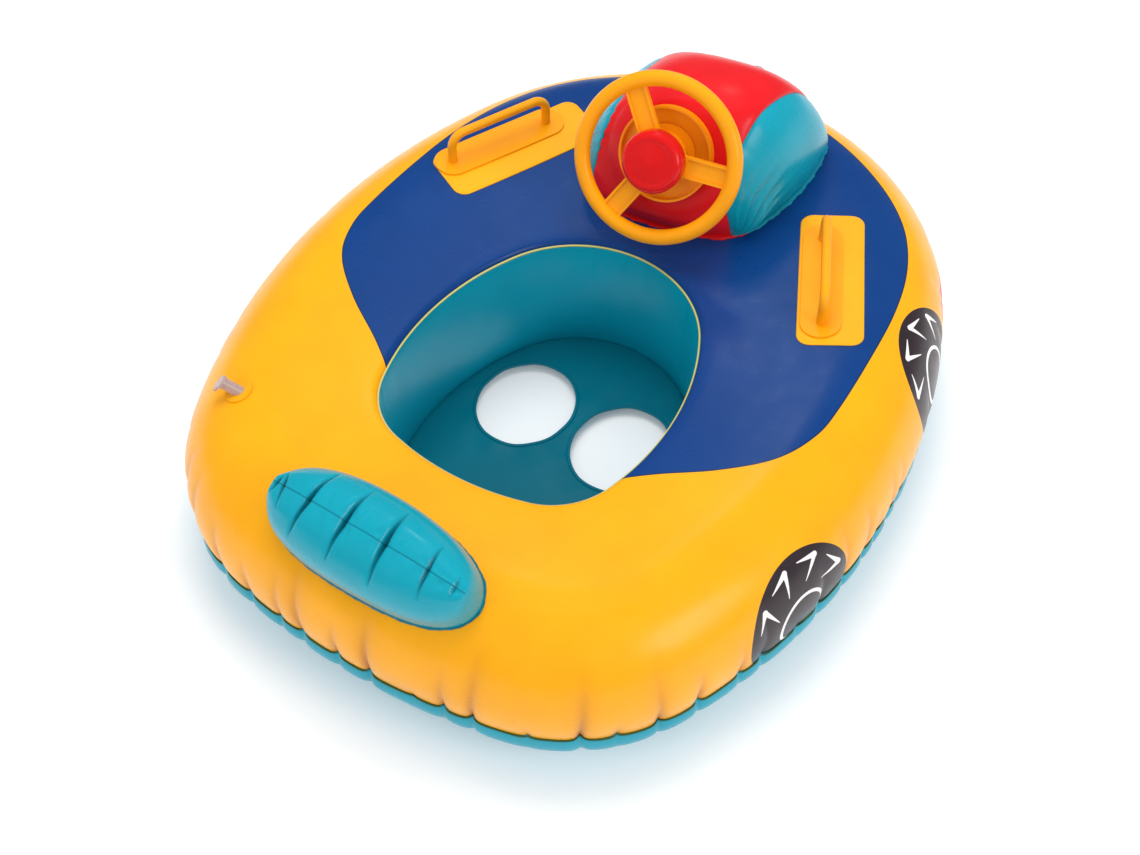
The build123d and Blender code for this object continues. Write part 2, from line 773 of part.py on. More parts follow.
back_centre_y = face_middle.Y + console_brow * cos(face_slope) + console_brow_radius * sin(face_slope)
back_centre_z = (
    face_middle.Z + console_brow * sin(face_slope)
    + console_brow_radius * (1 - cos(face_slope)) - console_back_radius
)
back_centre_y -= face_middle.X * tan(turn)
back_angle = degrees(atan2(
    sqrt(console_back_radius**2 - (console_valve_z - back_centre_z) ** 2),
    console_valve_z - back_centre_z,
))
console_place = Vector(0, back_centre_y + console_back_radius * sin(radians(back_angle)), console_valve_z)
console_seat = leaning(console_place, 90, back_angle)
valve("console_valve", console_outside, console_seat, console_seat)
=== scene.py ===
import json
import math

import bmesh
import bpy
import numpy as np
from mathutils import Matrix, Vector
from mathutils.bvhtree import BVHTree


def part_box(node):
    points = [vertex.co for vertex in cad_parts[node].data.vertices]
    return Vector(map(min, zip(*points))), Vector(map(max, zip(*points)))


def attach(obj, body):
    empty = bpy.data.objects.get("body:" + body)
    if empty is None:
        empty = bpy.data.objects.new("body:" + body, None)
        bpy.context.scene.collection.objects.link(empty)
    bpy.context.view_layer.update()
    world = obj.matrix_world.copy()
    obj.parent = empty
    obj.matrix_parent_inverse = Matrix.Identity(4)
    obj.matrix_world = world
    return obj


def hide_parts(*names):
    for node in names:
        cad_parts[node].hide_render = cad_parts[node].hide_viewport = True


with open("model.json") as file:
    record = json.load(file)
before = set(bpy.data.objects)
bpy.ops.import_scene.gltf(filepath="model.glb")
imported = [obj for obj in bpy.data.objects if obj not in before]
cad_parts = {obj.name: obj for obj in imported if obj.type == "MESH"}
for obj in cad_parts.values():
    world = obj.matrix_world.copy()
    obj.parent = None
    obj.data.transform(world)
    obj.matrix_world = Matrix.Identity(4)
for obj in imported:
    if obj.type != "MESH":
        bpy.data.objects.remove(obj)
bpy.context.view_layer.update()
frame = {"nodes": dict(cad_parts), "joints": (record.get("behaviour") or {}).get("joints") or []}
nodes = frame["nodes"]

# ---- Camera, studio light and table --------------------------------------------------------
# The float lies on a plain pale table under a wide soft light, with weaker ones low on its
# starboard side, behind its stern and off its bow for the sheen. The camera looks down over
# the starboard quarter.


def colour(red, green, blue):
    """A display colour, 0 to 255, as the linear colour that a shader takes."""
    parts = [channel / 255 for channel in (red, green, blue)]
    return [c / 12.92 if c <= 0.04045 else ((c + 0.055) / 1.055) ** 2.4 for c in parts] + [1.0]


def add_node(tree, kind, inputs=(), **settings):
    """A shader node with its settings made and its sockets set or linked."""
    made = tree.nodes.new(kind)
    for name, value in settings.items():
        setattr(made, name, value)
    for socket, value in dict(inputs).items():
        if isinstance(value, bpy.types.NodeSocket):
            tree.links.new(value, made.inputs[socket])
        else:
            made.inputs[socket].default_value = value
    return made


def calc(tree, operation, *values, clamp=False):
    """A Math node's result."""
    made = add_node(tree, "ShaderNodeMath", enumerate(values), operation=operation, use_clamp=clamp)
    return made.outputs[0]


def mixed(tree, share, low, high):
    """A colour between two others."""
    made = add_node(tree, "ShaderNodeMix", {0: share, 6: low, 7: high}, data_type="RGBA", clamp_factor=True)
    return made.outputs[2]


def principled(name, **sockets):
    """A material with the constants of its main shader set."""
    material = bpy.data.materials.new(name)
    material.use_nodes = True
    shader = material.node_tree.nodes["Principled BSDF"]
    shader.inputs["Specular IOR Level"].default_value = 0.28
    for socket, value in sockets.items():
        shader.inputs[socket.replace("_", " ")].default_value = value
    return material, material.node_tree, shader


scene = bpy.context.scene
scene.view_settings.view_transform = "Standard"

lens = bpy.data.cameras.new("camera")
lens.lens = 49.98
lens.sensor_width = 36
lens.clip_start = 0.05
camera = bpy.data.objects.new("camera", lens)
camera.location = (0.5296, -0.8930, 1.2447)
azimuth = math.radians(31.908)
elevation = math.radians(50.860)
back = Vector((
    math.sin(azimuth) * math.cos(elevation),
    -math.cos(azimuth) * math.cos(elevation),
    math.sin(elevation),
))
camera.rotation_euler = (-back).to_track_quat("-Z", "Y").to_euler()
scene.collection.objects.link(camera)
scene.camera = camera

world = bpy.data.worlds.new("studio")
world.use_nodes = True
world.node_tree.nodes["Background"].inputs["Color"].default_value = colour(250, 251, 253)
sky_glow = 0.74
sky_glow_lost_in_gloss = 0.62
tree = world.node_tree
glossy_ray = add_node(tree, "ShaderNodeLightPath").outputs["Is Glossy Ray"]
glow = calc(tree, "SUBTRACT", sky_glow, calc(tree, "MULTIPLY", glossy_ray, sky_glow_lost_in_gloss))
tree.links.new(glow, tree.nodes["Background"].inputs["Strength"])
scene.world = world

for name, place, size, power in (
    ("overhead", (-0.25, 0.35, 1.9), 1.3, 17),
    ("starboard", (1.7, -0.3, 1.1), 0.9, 8),
    ("stern", (-0.6, -1.7, 1.2), 0.8, 4),
    ("sheen", (-0.42, 0.92, 1.35), 0.24, 0.7),
):
    light = bpy.data.lights.new(name, "AREA")
    light.shape = "DISK"
    light.size = size
    light.energy = power
    lamp = bpy.data.objects.new(name, light)
    lamp.location = place
    lamp.rotation_euler = (Vector((0, 0, 0.1)) - Vector(place)).to_track_quat("-Z", "Y").to_euler()
    lamp.visible_glossy = name in ("sheen", "starboard")
    scene.collection.objects.link(lamp)

table_top, tree, shader = principled(
    "pale table", Roughness=0.85, Emission_Color=colour(250, 250, 250), Emission_Strength=0.16,
)
spot = add_node(tree, "ShaderNodeTexCoord").outputs["Object"]
speckle = add_node(tree, "ShaderNodeTexNoise", {"Vector": spot, "Scale": 6.0, "Detail": 2.0}).outputs["Fac"]
pale = mixed(tree, speckle, colour(246, 246, 246), colour(250, 250, 250))
tree.links.new(pale, shader.inputs["Base Color"])
table_drop = 0.0006
plate = bmesh.new()
bmesh.ops.create_grid(plate, x_segments=4, y_segments=4, size=6)
bmesh.ops.translate(plate, verts=plate.verts, vec=(0, 0, -table_drop))
table_mesh = bpy.data.meshes.new("table")
plate.to_mesh(table_mesh)
table = bpy.data.objects.new("table", table_mesh)
table_mesh.materials.append(table_top)
scene.collection.objects.link(table)

# ---- Hull top ------------------------------------------------------------------------------
# The upper half of the air chamber: one glossy PVC sheet, yellow, printed with a blue front deck
# and a car's wheels, and welded to the lower half round the outside, where it gathers. Painted
# shade darkens the cores of the gathers.
hull_low, hull_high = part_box("outer_seam_weld")
hull_width = hull_high.x - hull_low.x
hull_length = hull_high.y - hull_low.y
hull_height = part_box("top_skin")[1].z
seam_height = (hull_low.z + hull_high.z) / 2
tube_radius = 0.082
crown_inset = 0.084
rim_height = 0.150
rim_round = 0.006
around = 840
sheet_thickness = 0.0008


def egg_arcs(length, width, front, widest, front_r, rear_r, corner_r):
    """Centres, radii and tangent angles of the arcs that make the float's outlines."""
    bow = np.array((0.0, front - front_r))
    stern = np.array((0.0, front - length + rear_r))
    lead = widest - bow[1]
    half = width / 2
    side_r = (half**2 + lead**2 - front_r**2) / (2 * (half - front_r))
    side = np.array((half - side_r, widest))
    apart = np.linalg.norm(stern - side)
    along = (stern - side) / apart
    to_side, to_stern = side_r - corner_r, rear_r - corner_r
    run = (to_side**2 - to_stern**2 + apart**2) / (2 * apart)
    rise = math.sqrt(to_side**2 - run**2)
    corner = side + along * run + rise * np.array((along[1], -along[0]))
    ends = [math.atan2(*(a - b)[::-1]) for a, b in ((bow, side), (corner, side), (corner, stern))]
    return [(bow, front_r), (side, side_r), (corner, corner_r), (stern, rear_r)], ends


def egg_points(arcs, angles, inset=0.0):
    """Points of an outline moved in by inset, at the given directions of its outward normal."""
    centres, ends = arcs
    folded = np.where(np.cos(angles) >= 0, angles, np.pi - angles)
    folded = np.arctan2(np.sin(folded), np.cos(folded))
    which = (folded < ends[0]).astype(int) + (folded < ends[1]) + (folded < ends[2])
    middle = np.array([centre for centre, radius in centres])[which]
    radius = np.array([radius for centre, radius in centres])[which] - inset
    x = middle[:, 0] + radius * np.cos(folded)
    y = middle[:, 1] + radius * np.sin(folded)
    return np.stack([np.where(np.cos(angles) >= 0, x, -x), y], axis=1)


def spread_angles(arcs, inset, count):
    """Directions whose points lie evenly along the outline, from the bow towards port."""
    fine = np.linspace(np.pi / 2, np.pi * 2.5, 20001)
    points = egg_points(arcs, fine, inset)
    run = np.concatenate([[0], np.cumsum(np.linalg.norm(np.diff(points, axis=0), axis=1))])
    return np.interp(np.linspace(0, run[-1], count, endpoint=False), run, fine), run[-1]


def ring_mesh(rows, closed=False):
    """A skin through rows of points, each row a ring, extruded one from the other."""
    mesh = bmesh.new()
    loop = bmesh.ops.create_circle(mesh, segments=len(rows[0]), radius=1)["verts"]
    for vertex, point in zip(loop, rows[0]):
        vertex.co = point
    edges = mesh.edges[:]
    first = loop
    order = [loop]
    for row in rows[1:]:
        made = bmesh.ops.extrude_edge_only(mesh, edges=edges)["geom"]
        fresh = {item for item in made if isinstance(item, bmesh.types.BMVert)}
        edges = [item for item in made if isinstance(item, bmesh.types.BMEdge)]
        loop = [next(e.other_vert(v) for e in v.link_edges if e.other_vert(v) in fresh) for v in loop]
        edges = [e for e in edges if e.verts[0] in fresh and e.verts[1] in fresh]
        for vertex, point in zip(loop, row):
            vertex.co = point
        order.append(loop)
    if closed:
        start = set(first)
        base = [e for e in mesh.edges if e.verts[0] in start and e.verts[1] in start]
        bmesh.ops.bridge_loops(mesh, edges=edges + base)
    mesh.verts.index_update()
    return mesh, [vertex.index for loop in order for vertex in loop]


def make_piece(name, mesh, material, body="float"):
    """Turns a bmesh into a smooth-shaded piece that rides on a body."""
    data = bpy.data.meshes.new(name)
    mesh.to_mesh(data)
    mesh.free()
    data.polygons.foreach_set("use_smooth", [True] * len(data.polygons))
    data.materials.append(material)
    piece = bpy.data.objects.new(name, data)
    scene.collection.objects.link(piece)
    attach(piece, body)
    return piece


def face_out(mesh, outward):
    """Turns the skin over if its first face doesn't look the way outward says."""
    mesh.normal_update()
    mesh.faces.ensure_lookup_table()
    face = mesh.faces[len(mesh.faces) // 2]
    if face.normal.dot(outward(face.calc_center_median())) < 0:
        bmesh.ops.reverse_faces(mesh, faces=mesh.faces)


def thicken(piece):
    """Gives a sheet its thickness, inwards from its modelled face."""
    solid = piece.modifiers.new("thickness", "SOLIDIFY")
    solid.thickness = sheet_thickness
    solid.offset = -1


def point_values(piece, name, kind, values, order):
    """Stores one value for each modelled point, for the material to read."""
    store = piece.data.attributes.new(name, kind, "POINT")
    placed = np.zeros_like(values)
    placed[order] = values
    store.data.foreach_set("vector" if kind == "FLOAT_VECTOR" else "value", placed.astype(np.float32).ravel())


def spline(points, count, closed=False):
    """Points spread evenly along a smooth line through the given ones."""
    p = np.array(points, float)
    ends = (p[-1:], p[:2]) if closed else (2 * p[:1] - p[1:2], 2 * p[-1:] - p[-2:-1])
    p = np.concatenate([ends[0], p, ends[1]])
    t = np.linspace(0, 1, 40, endpoint=False)[:, None]
    dense = [
        0.5 * (2 * b + (c - a) * t + (2 * a - 5 * b + 4 * c - d) * t**2 + (3 * b - a - 3 * c + d) * t**3)
        for a, b, c, d in zip(p, p[1:], p[2:], p[3:])
    ]
    dense = np.concatenate(dense + [p[-2:-1]])
    run = np.concatenate([[0], np.cumsum(np.linalg.norm(np.diff(dense, axis=0), axis=1))])
    at = np.linspace(0, run[-1], count, endpoint=not closed)
    return np.stack([np.interp(at, run, dense[:, k]) for k in range(dense.shape[1])], axis=1)


def inside_distance(points, loop):
    """Distance of each point to a closed line, above zero within it."""
    a, b = loop, np.roll(loop, -1, axis=0)
    ab = b - a
    t = np.clip(((points[:, None] - a) * ab).sum(-1) / (ab**2).sum(-1), 0, 1)
    away = np.linalg.norm(points[:, None] - a - t[..., None] * ab, axis=-1).min(1)
    crosses = (a[:, 1] > points[:, 1:2]) != (b[:, 1] > points[:, 1:2])
    at = ab[:, 0] * (points[:, 1:2] - a[:, 1]) / np.where(ab[:, 1] == 0, 1e-12, ab[:, 1]) + a[:, 0]
    odd = (crosses & (points[:, :1] < at)).sum(1) % 2
    return np.where(odd == 1, away, -away)


hull_arcs = egg_arcs(
    length=hull_length, width=hull_width, front=hull_length / 2, widest=-0.025,
    front_r=0.46 * hull_width, rear_r=1.074 * hull_width, corner_r=0.284 * hull_width,
)
seat_arcs = egg_arcs(
    length=0.319, width=0.266, front=0.085, widest=-0.098, front_r=0.117, rear_r=0.260, corner_r=0.075,
)
fine_count = 8000
fine_bearings, seam_length = spread_angles(hull_arcs, 0.03, fine_count)
chance = np.random.default_rng(11)
gathers = []
at = 0.0
while at < seam_length - 0.012:
    astern = 1 - abs(2 * at / seam_length - 1)
    strong = chance.random() < 0.2 + 0.8 * astern
    if strong:
        depth = chance.uniform(0.0046, 0.0072) * (0.45 + 0.55 * astern)
        reach = chance.uniform(0.050, 0.110)
    else:
        depth = chance.uniform(0.0014, 0.003)
        reach = chance.uniform(0.018, 0.035)
    gathers.append((at, depth, reach, chance.uniform(-0.05, 0.05), chance.uniform(0.0022, 0.0034)))
    at += chance.uniform(0.026, 0.050) * (0.62 + 0.38 * astern)


def round_seam(offset):
    """A distance round the closed seam, folded to its shorter way."""
    return (offset + seam_length / 2) % seam_length - seam_length / 2


fine = np.linspace(0, seam_length, fine_count, endpoint=False)
crowding = 1 + sum(2.6 * np.exp(-(round_seam(fine - gather[0]) / 0.006) ** 2) for gather in gathers)
crowded = np.cumsum(crowding) - crowding[0]
along_seam = np.interp(np.linspace(0, crowded[-1], around, endpoint=False), crowded, fine)
bearings = np.interp(along_seam, fine, fine_bearings)
outward = np.stack([np.cos(bearings), np.sin(bearings)], axis=1)
outer_line = egg_points(hull_arcs, bearings)
crown_line = egg_points(hull_arcs, bearings, crown_inset)
seat_line = egg_points(seat_arcs, bearings)
low_angle = math.asin((seam_height - (hull_height - tube_radius)) / tube_radius)


def gather_depth(along, up):
    """How far the weld's gathers draw the sheet in, at a place along the seam and up from it."""
    total = np.zeros(len(along))
    for at, depth, reach, lean, width in gathers:
        off = round_seam(along - at - lean * up)
        core = 0.0004 + 0.03 * up
        fade = max(0.0, 1 - up / reach) ** 1.25
        total += depth * fade * np.exp(-(np.sqrt(off**2 + core**2) - core) / (width + 0.04 * up))
    return total


cad_deck = BVHTree.FromObject(nodes["top_skin"], bpy.context.evaluated_depsgraph_get())


def deck_height(point, guess):
    """Height of the deck under a place, or the guess where the sheet is cut."""
    hit = cad_deck.ray_cast(Vector((point[0], point[1], 0.4)), Vector((0, 0, -1)))[0]
    return hit.z if hit is not None and abs(hit.z - guess) < 0.006 else guess


climbs = np.concatenate([
    np.array([0, 0.0012, 0.0026, 0.0043, 0.0063, 0.0087, 0.0115, 0.0148, 0.0187, 0.0232, 0.0283, 0.034]),
    np.linspace(0.040, tube_radius * (math.pi / 2 - low_angle), 20),
])
starboard = (outer_line[:, 0] > 0).astype(float)
from_bow = np.minimum(along_seam, seam_length - along_seam)
deepest_gather = 0.006
past_prints = 0.2
rows, places, gather_shade_rows = [], [], []
for climb in climbs:
    lift = low_angle + climb / tube_radius
    inset = tube_radius * (1 - math.cos(lift))
    height = hull_height - tube_radius + tube_radius * math.sin(lift)
    pulled = gather_depth(along_seam, climb) + 0.0004 * math.exp(-climb / 0.02)
    flat = outer_line - outward * (inset + pulled * math.cos(lift))[:, None]
    level = np.full(around, height) - pulled * math.sin(lift)
    rows.append(np.column_stack([flat, level]))
    places.append(np.column_stack([from_bow, np.full(around, climb), starboard]))
    # Share of the deepest gather at each point, used for the painted shade in the gathers' creases.
    gather_shade_rows.append(gather_depth(along_seam, climb) / deepest_gather)
deck_width = np.linalg.norm(crown_line - seat_line, axis=1)
rim_steps = [(1 - math.cos(a)) * rim_round for a in np.radians([90, 72, 54, 37, 20, 0])]
deck_steps = [(share, None) for share in np.linspace(0, 1, 13)[1:-1]] + [(None, edge) for edge in rim_steps]
for share, edge in deck_steps:
    inward = 1 - edge / deck_width if share is None else share * (1 - rim_round / deck_width)
    flat = crown_line + (seat_line - crown_line) * inward[:, None]
    level = hull_height + (rim_height - hull_height) * inward
    if share is None:
        level -= rim_round - math.sqrt(max(0.0, rim_round**2 - (rim_round - edge) ** 2))
    else:
        level = np.array([deck_height(p, z) for p, z in zip(flat, level)])
    rows.append(np.column_stack([flat, level]))
    places.append(np.column_stack([from_bow, np.full(around, past_prints), starboard]))
    gather_shade_rows.append(np.zeros(around))

print_side = [
    (0.120, -0.166), (0.152, -0.143), (0.197, -0.115), (0.235, -0.081), (0.2525, -0.041), (0.256, 0.0),
    (0.254, 0.068), (0.249, 0.130), (0.238, 0.184), (0.220, 0.228), (0.196, 0.262), (0.160, 0.293),
    (0.110, 0.322), (0.055, 0.341),
]
print_line = spline(print_side + [(0.0, 0.347)] + [(-x, y) for x, y in print_side[::-1]], 260)
mesh, order = ring_mesh(rows)
face_out(mesh, lambda p: Vector((p.x, p.y, 0.05)))


line_sharpness = 3000.0


def length_of(tree, across, up):
    """The length of a flat step, as a Math node's result."""
    squares = calc(tree, "ADD", calc(tree, "POWER", across, 2.0), calc(tree, "POWER", up, 2.0))
    return calc(tree, "SQRT", squares)


def within(tree, value, limit, sharpness=2500.0):
    """1 where a value is under its limit, 0 over it, with an edge as crisp as sharpness says."""
    return calc(tree, "MULTIPLY", calc(tree, "SUBTRACT", limit, value), sharpness, clamp=True)


def wheel_print(tree, along, climb, middle, ahead, hub_rise):
    """Black disc and white marks of one printed road wheel, round its middle on the sheet."""
    disc_radius = 0.0612
    hub_ring_radius = 0.0258
    hub_ring_half_width = 0.0019
    chevron_count = 4
    pitch = math.radians(41)
    first_chevron = math.radians(13)
    chevron_tip_turn = math.radians(6)
    tip = (0.0, 0.0520)
    arms = (((0.0205, 0.0470), 0.0029), ((0.0085, 0.0300), 0.0026))
    across = calc(tree, "MULTIPLY", calc(tree, "SUBTRACT", along, middle[0]), ahead)
    up = calc(tree, "SUBTRACT", climb, middle[1])
    away = length_of(tree, across, up)
    disc = within(tree, away, disc_radius)
    hub_up = calc(tree, "SUBTRACT", climb, middle[1] + hub_rise)
    off_hub = calc(tree, "ABSOLUTE", calc(tree, "SUBTRACT", length_of(tree, across, hub_up), hub_ring_radius))
    marks = within(tree, off_hub, hub_ring_half_width, line_sharpness)
    turn = calc(tree, "SUBTRACT", calc(tree, "ARCTAN2", up, across), first_chevron)
    folded = calc(tree, "ADD", calc(tree, "WRAP", turn, pitch, 0.0), -chevron_tip_turn)
    tangent = calc(tree, "MULTIPLY", away, calc(tree, "SINE", folded))
    radial = calc(tree, "MULTIPLY", away, calc(tree, "COSINE", folded))
    dx = calc(tree, "SUBTRACT", tangent, tip[0])
    dy = calc(tree, "SUBTRACT", radial, tip[1])
    for end, half_width in arms:
        run = (end[0] - tip[0], end[1] - tip[1])
        squared = run[0] ** 2 + run[1] ** 2
        along_x = calc(tree, "MULTIPLY", dx, run[0] / squared)
        along_y = calc(tree, "MULTIPLY", dy, run[1] / squared)
        held = calc(tree, "MINIMUM", calc(tree, "MAXIMUM", calc(tree, "ADD", along_x, along_y), 0.0), 1.0)
        ex = calc(tree, "SUBTRACT", dx, calc(tree, "MULTIPLY", held, run[0]))
        ey = calc(tree, "SUBTRACT", dy, calc(tree, "MULTIPLY", held, run[1]))
        slim = calc(tree, "SUBTRACT", half_width, calc(tree, "MULTIPLY", held, half_width * 0.8))
        arm = within(tree, length_of(tree, ex, ey), slim, line_sharpness)
        arm = calc(tree, "MULTIPLY", arm, calc(tree, "LESS_THAN", turn, chevron_count * pitch))
        arm = calc(tree, "MULTIPLY", arm, calc(tree, "GREATER_THAN", turn, 0.0))
        marks = calc(tree, "MAXIMUM", marks, arm)
    return disc, calc(tree, "MULTIPLY", marks, disc)


def noise(tree, place, scale, detail):
    """A Noise texture's height."""
    made = add_node(tree, "ShaderNodeTexNoise", {"Vector": place, "Scale": scale, "Detail": detail})
    return made.outputs["Fac"]


def spread(tree, value, low, high):
    """A noise's height, from 0.1 to 0.9, spread over another range."""
    ends = {"Value": value, "From Min": 0.1, "From Max": 0.9, "To Min": low, "To Max": high}
    return add_node(tree, "ShaderNodeMapRange", ends).outputs["Result"]


def multiplied(tree, share, base, tint):
    """A colour multiplied by another, as far as share says."""
    made = add_node(
        tree, "ShaderNodeMix", {0: share, 6: base, 7: tint}, data_type="RGBA", blend_type="MULTIPLY",
    )
    return made.outputs[2]


def vinyl_surface(tree, shader, base, rough=0.3, grain=0.00002, wave=0.0005):
    """Glossy PVC: a faint mottle in the colour, uneven gloss, slow waves and a fine grain."""
    place = add_node(tree, "ShaderNodeTexCoord").outputs["Object"]
    mottle = spread(tree, noise(tree, place, 18.0, 4.0), 0.91, 1.08)
    tree.links.new(multiplied(tree, 1.0, base, mottle), shader.inputs["Base Color"])
    gloss = spread(tree, noise(tree, place, 55.0, 5.0), rough - 0.09, rough + 0.11)
    tree.links.new(gloss, shader.inputs["Roughness"])
    slow = noise(tree, place, 26.0, 1.5)
    fine = noise(tree, place, 700.0, 1.0)
    soft = add_node(tree, "ShaderNodeBump", {"Strength": 0.5, "Distance": wave, "Height": slow}).outputs[0]
    relief = {"Strength": 0.15, "Distance": grain, "Height": fine, "Normal": soft}
    tree.links.new(add_node(tree, "ShaderNodeBump", relief).outputs[0], shader.inputs["Normal"])


deck_vinyl, tree, shader = principled("printed yellow vinyl", Coat_Weight=0.1, Coat_Roughness=0.18)
where = add_node(tree, "ShaderNodeAttribute", attribute_name="sheet_place").outputs["Vector"]
parts = add_node(tree, "ShaderNodeSeparateXYZ", {0: where})
edge = add_node(tree, "ShaderNodeAttribute", attribute_name="print_edge").outputs["Fac"]
blue = calc(tree, "MULTIPLY", edge, 2500.0, clamp=True)
outline_half_width = 0.0008
outline = within(tree, calc(tree, "ABSOLUTE", edge), outline_half_width, line_sharpness)
inked = mixed(tree, blue, colour(255, 174, 10), colour(10, 62, 130))
inked = mixed(tree, outline, inked, colour(18, 52, 84))


def seam_place(y):
    """Distance along the seam from the bow to where the starboard side reaches y."""
    side = outer_line[:, 0] > 0.001
    return float(np.interp(y, outer_line[side][:, 1], (seam_length - along_seam)[side]))


port_rise = -0.006
for y, rise, ahead, hub_rise in ((-0.161, 0.032, -1.0, -0.008), (0.133, 0.056, 1.0, -0.006)):
    lowered = calc(tree, "MULTIPLY", calc(tree, "SUBTRACT", 1.0, parts.outputs[2]), rise - port_rise)
    climb_here = calc(tree, "ADD", parts.outputs[1], lowered)
    disc, marks = wheel_print(tree, parts.outputs[0], climb_here, (seam_place(y), rise), ahead, hub_rise)
    inked = mixed(tree, disc, inked, colour(52, 42, 47))
    inked = mixed(tree, marks, inked, colour(250, 246, 244))
bumper_middle = 0.040
bumper_half_height = 0.019
bumper_end_y = 0.215
off_middle = calc(tree, "ABSOLUTE", calc(tree, "SUBTRACT", parts.outputs[1], bumper_middle))
bumper = within(tree, off_middle, bumper_half_height)
bumper = calc(tree, "MULTIPLY", bumper, within(tree, parts.outputs[0], seam_place(bumper_end_y)))
inked = mixed(tree, bumper, inked, colour(222, 38, 36))
# Painted shade: the colour darkens towards brown-orange in the cores of the gathers, where their creases fall
# in shade.
gather_shade = add_node(tree, "ShaderNodeAttribute", attribute_name="gather_shade").outputs["Fac"]
gather_shade_share = calc(tree, "MULTIPLY", gather_shade, 0.75, clamp=True)
shaded = multiplied(tree, gather_shade_share, inked, colour(150, 96, 60))
vinyl_surface(tree, shader, shaded)

hull_top = make_piece("hull_top", mesh, deck_vinyl)
point_values(hull_top, "sheet_place", "FLOAT_VECTOR", np.concatenate(places), order)
edges = np.concatenate([inside_distance(row[:, :2], print_line) for row in rows])
point_values(hull_top, "print_edge", "FLOAT", edges, order)
point_values(hull_top, "gather_shade", "FLOAT", np.concatenate(gather_shade_rows), order)
deck = BVHTree.FromObject(hull_top, bpy.context.evaluated_depsgraph_get())
thicken(hull_top)
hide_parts("top_skin")

# ---- Hull bottom ---------------------------------------------------------------------------
# The lower half of the air chamber: a sea-green PVC sheet that shows as a band under the seam
# and lies flat on the table.
falls = np.concatenate([
    np.array([0, 0.0012, 0.0028, 0.005, 0.0078, 0.0112, 0.0152, 0.02, 0.0256, 0.032]),
    np.linspace(0.039, tube_radius * (math.pi / 2 + low_angle), 9),
])
rows = []
for fall in falls:
    dip = low_angle - fall / tube_radius
    inset = tube_radius * (1 - math.cos(dip))
    height = tube_radius * (1 + math.sin(dip)) + (hull_height - 2 * tube_radius) * (fall == 0)
    swell = 0.0105 * (1 - math.exp(-fall / 0.008)) * max(0.0, 1 - fall / 0.09) ** 1.2
    pulled = 0.8 * gather_depth(along_seam, fall * 1.4) - swell
    flat = outer_line - outward * (inset + pulled * math.cos(dip))[:, None]
    level = height - pulled * math.sin(dip)
    rows.append(np.column_stack([flat, np.clip(level, 0.0, None)]))
base_line = egg_points(hull_arcs, bearings, tube_radius)
for share in (0.25, 0.5, 0.75, 0.97, 1.0):
    flat = base_line + (seat_line - base_line) * share
    rows.append(np.column_stack([flat, np.full(around, 0.0 if share < 1 else 0.0012)]))
mesh, order = ring_mesh(rows)
face_out(mesh, lambda p: Vector((0, 0, -1)))
green_vinyl, tree, shader = principled("sea green vinyl", Coat_Weight=0.1, Coat_Roughness=0.18)
vinyl_surface(tree, shader, colour(38, 160, 182))
hull_bottom = make_piece("hull_bottom", mesh, green_vinyl)
thicken(hull_bottom)
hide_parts("bottom_skin")

# ---- Outer weld ----------------------------------------------------------------------------
# The two halves' edges, pressed together by a heated bar into a thin fin that stands out all
# round and follows the gathers. Its dark olive colour is partly the weld's own and partly painted
# shade of the seam line.
pulled = gather_depth(along_seam, 0.0)
inset = tube_radius * (1 - math.cos(low_angle))
flutter = 0.0005 * np.sin(along_seam * 95) + 0.0004 * np.sin(along_seam * 211 + 1)
rows = []
for out, lift in ((-0.0012, -0.0005), (0.0013, -0.0004), (0.0016, 0.0), (0.0013, 0.0004), (-0.0012, 0.0005)):
    flat = outer_line - outward * (inset + pulled - out)[:, None]
    rows.append(np.column_stack([flat, np.full(around, seam_height + lift) + flutter * max(out, 0) / 0.0015]))
mesh, order = ring_mesh(rows, closed=True)
bmesh.ops.recalc_face_normals(mesh, faces=mesh.faces)
# Dark olive: partly the weld's own colour, partly painted shade of the seam line.
weld_fin_shade_vinyl, tree, shader = principled("weld fin vinyl", Coat_Weight=0.08, Coat_Roughness=0.25)
vinyl_surface(tree, shader, colour(60, 104, 70), rough=0.36)
outer_weld = make_piece("outer_weld", mesh, weld_fin_shade_vinyl)
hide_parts("outer_seam_weld")

# ---- Seat wall and rim weld ----------------------------------------------------------------
# The wall of the seat's well: a dark teal PVC sheet drawn taut between top and bottom, blown
# inwards a little by the air, and the pale bead that its weld leaves round the rim.
rows = []
well = np.random.default_rng(5)
fold_ranges = ((0, seam_length), (0.0006, 0.0014), (0.02, 0.05), (-0.3, 0.3))
folds = [[well.uniform(*ends) for ends in fold_ranges] for _ in range(26)]
wall_top = rim_height - rim_round
for height in np.concatenate([[0.0], np.linspace(0.004, wall_top - 0.004, 30), [wall_top]]):
    share = height / wall_top
    swell = 0.0055 * math.sin(math.pi * share) ** 0.7 if 0 < share < 1 else 0.0
    crease = np.zeros(around)
    for at, depth, reach, lean in folds:
        down = wall_top - height
        off = round_seam(along_seam - at - lean * down)
        fade = max(0.0, 1 - down / reach) * (1 - math.exp(-down / 0.004))
        crease += depth * fade * np.exp(-np.abs(off) / 0.008)
    flat = egg_points(seat_arcs, bearings, swell) + outward * crease[:, None]
    rows.append(np.column_stack([flat, np.full(around, height)]))
mesh, order = ring_mesh(rows)
face_out(mesh, lambda p: Vector((-p.x, -0.09 - p.y, 0)))
teal_vinyl, tree, shader = principled("dark teal vinyl", Coat_Weight=0.08, Coat_Roughness=0.2)
vinyl_surface(tree, shader, colour(0, 158, 182), rough=0.34)
seat_wall = make_piece("seat_well_wall", mesh, teal_vinyl)
thicken(seat_wall)
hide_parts("seat_wall")

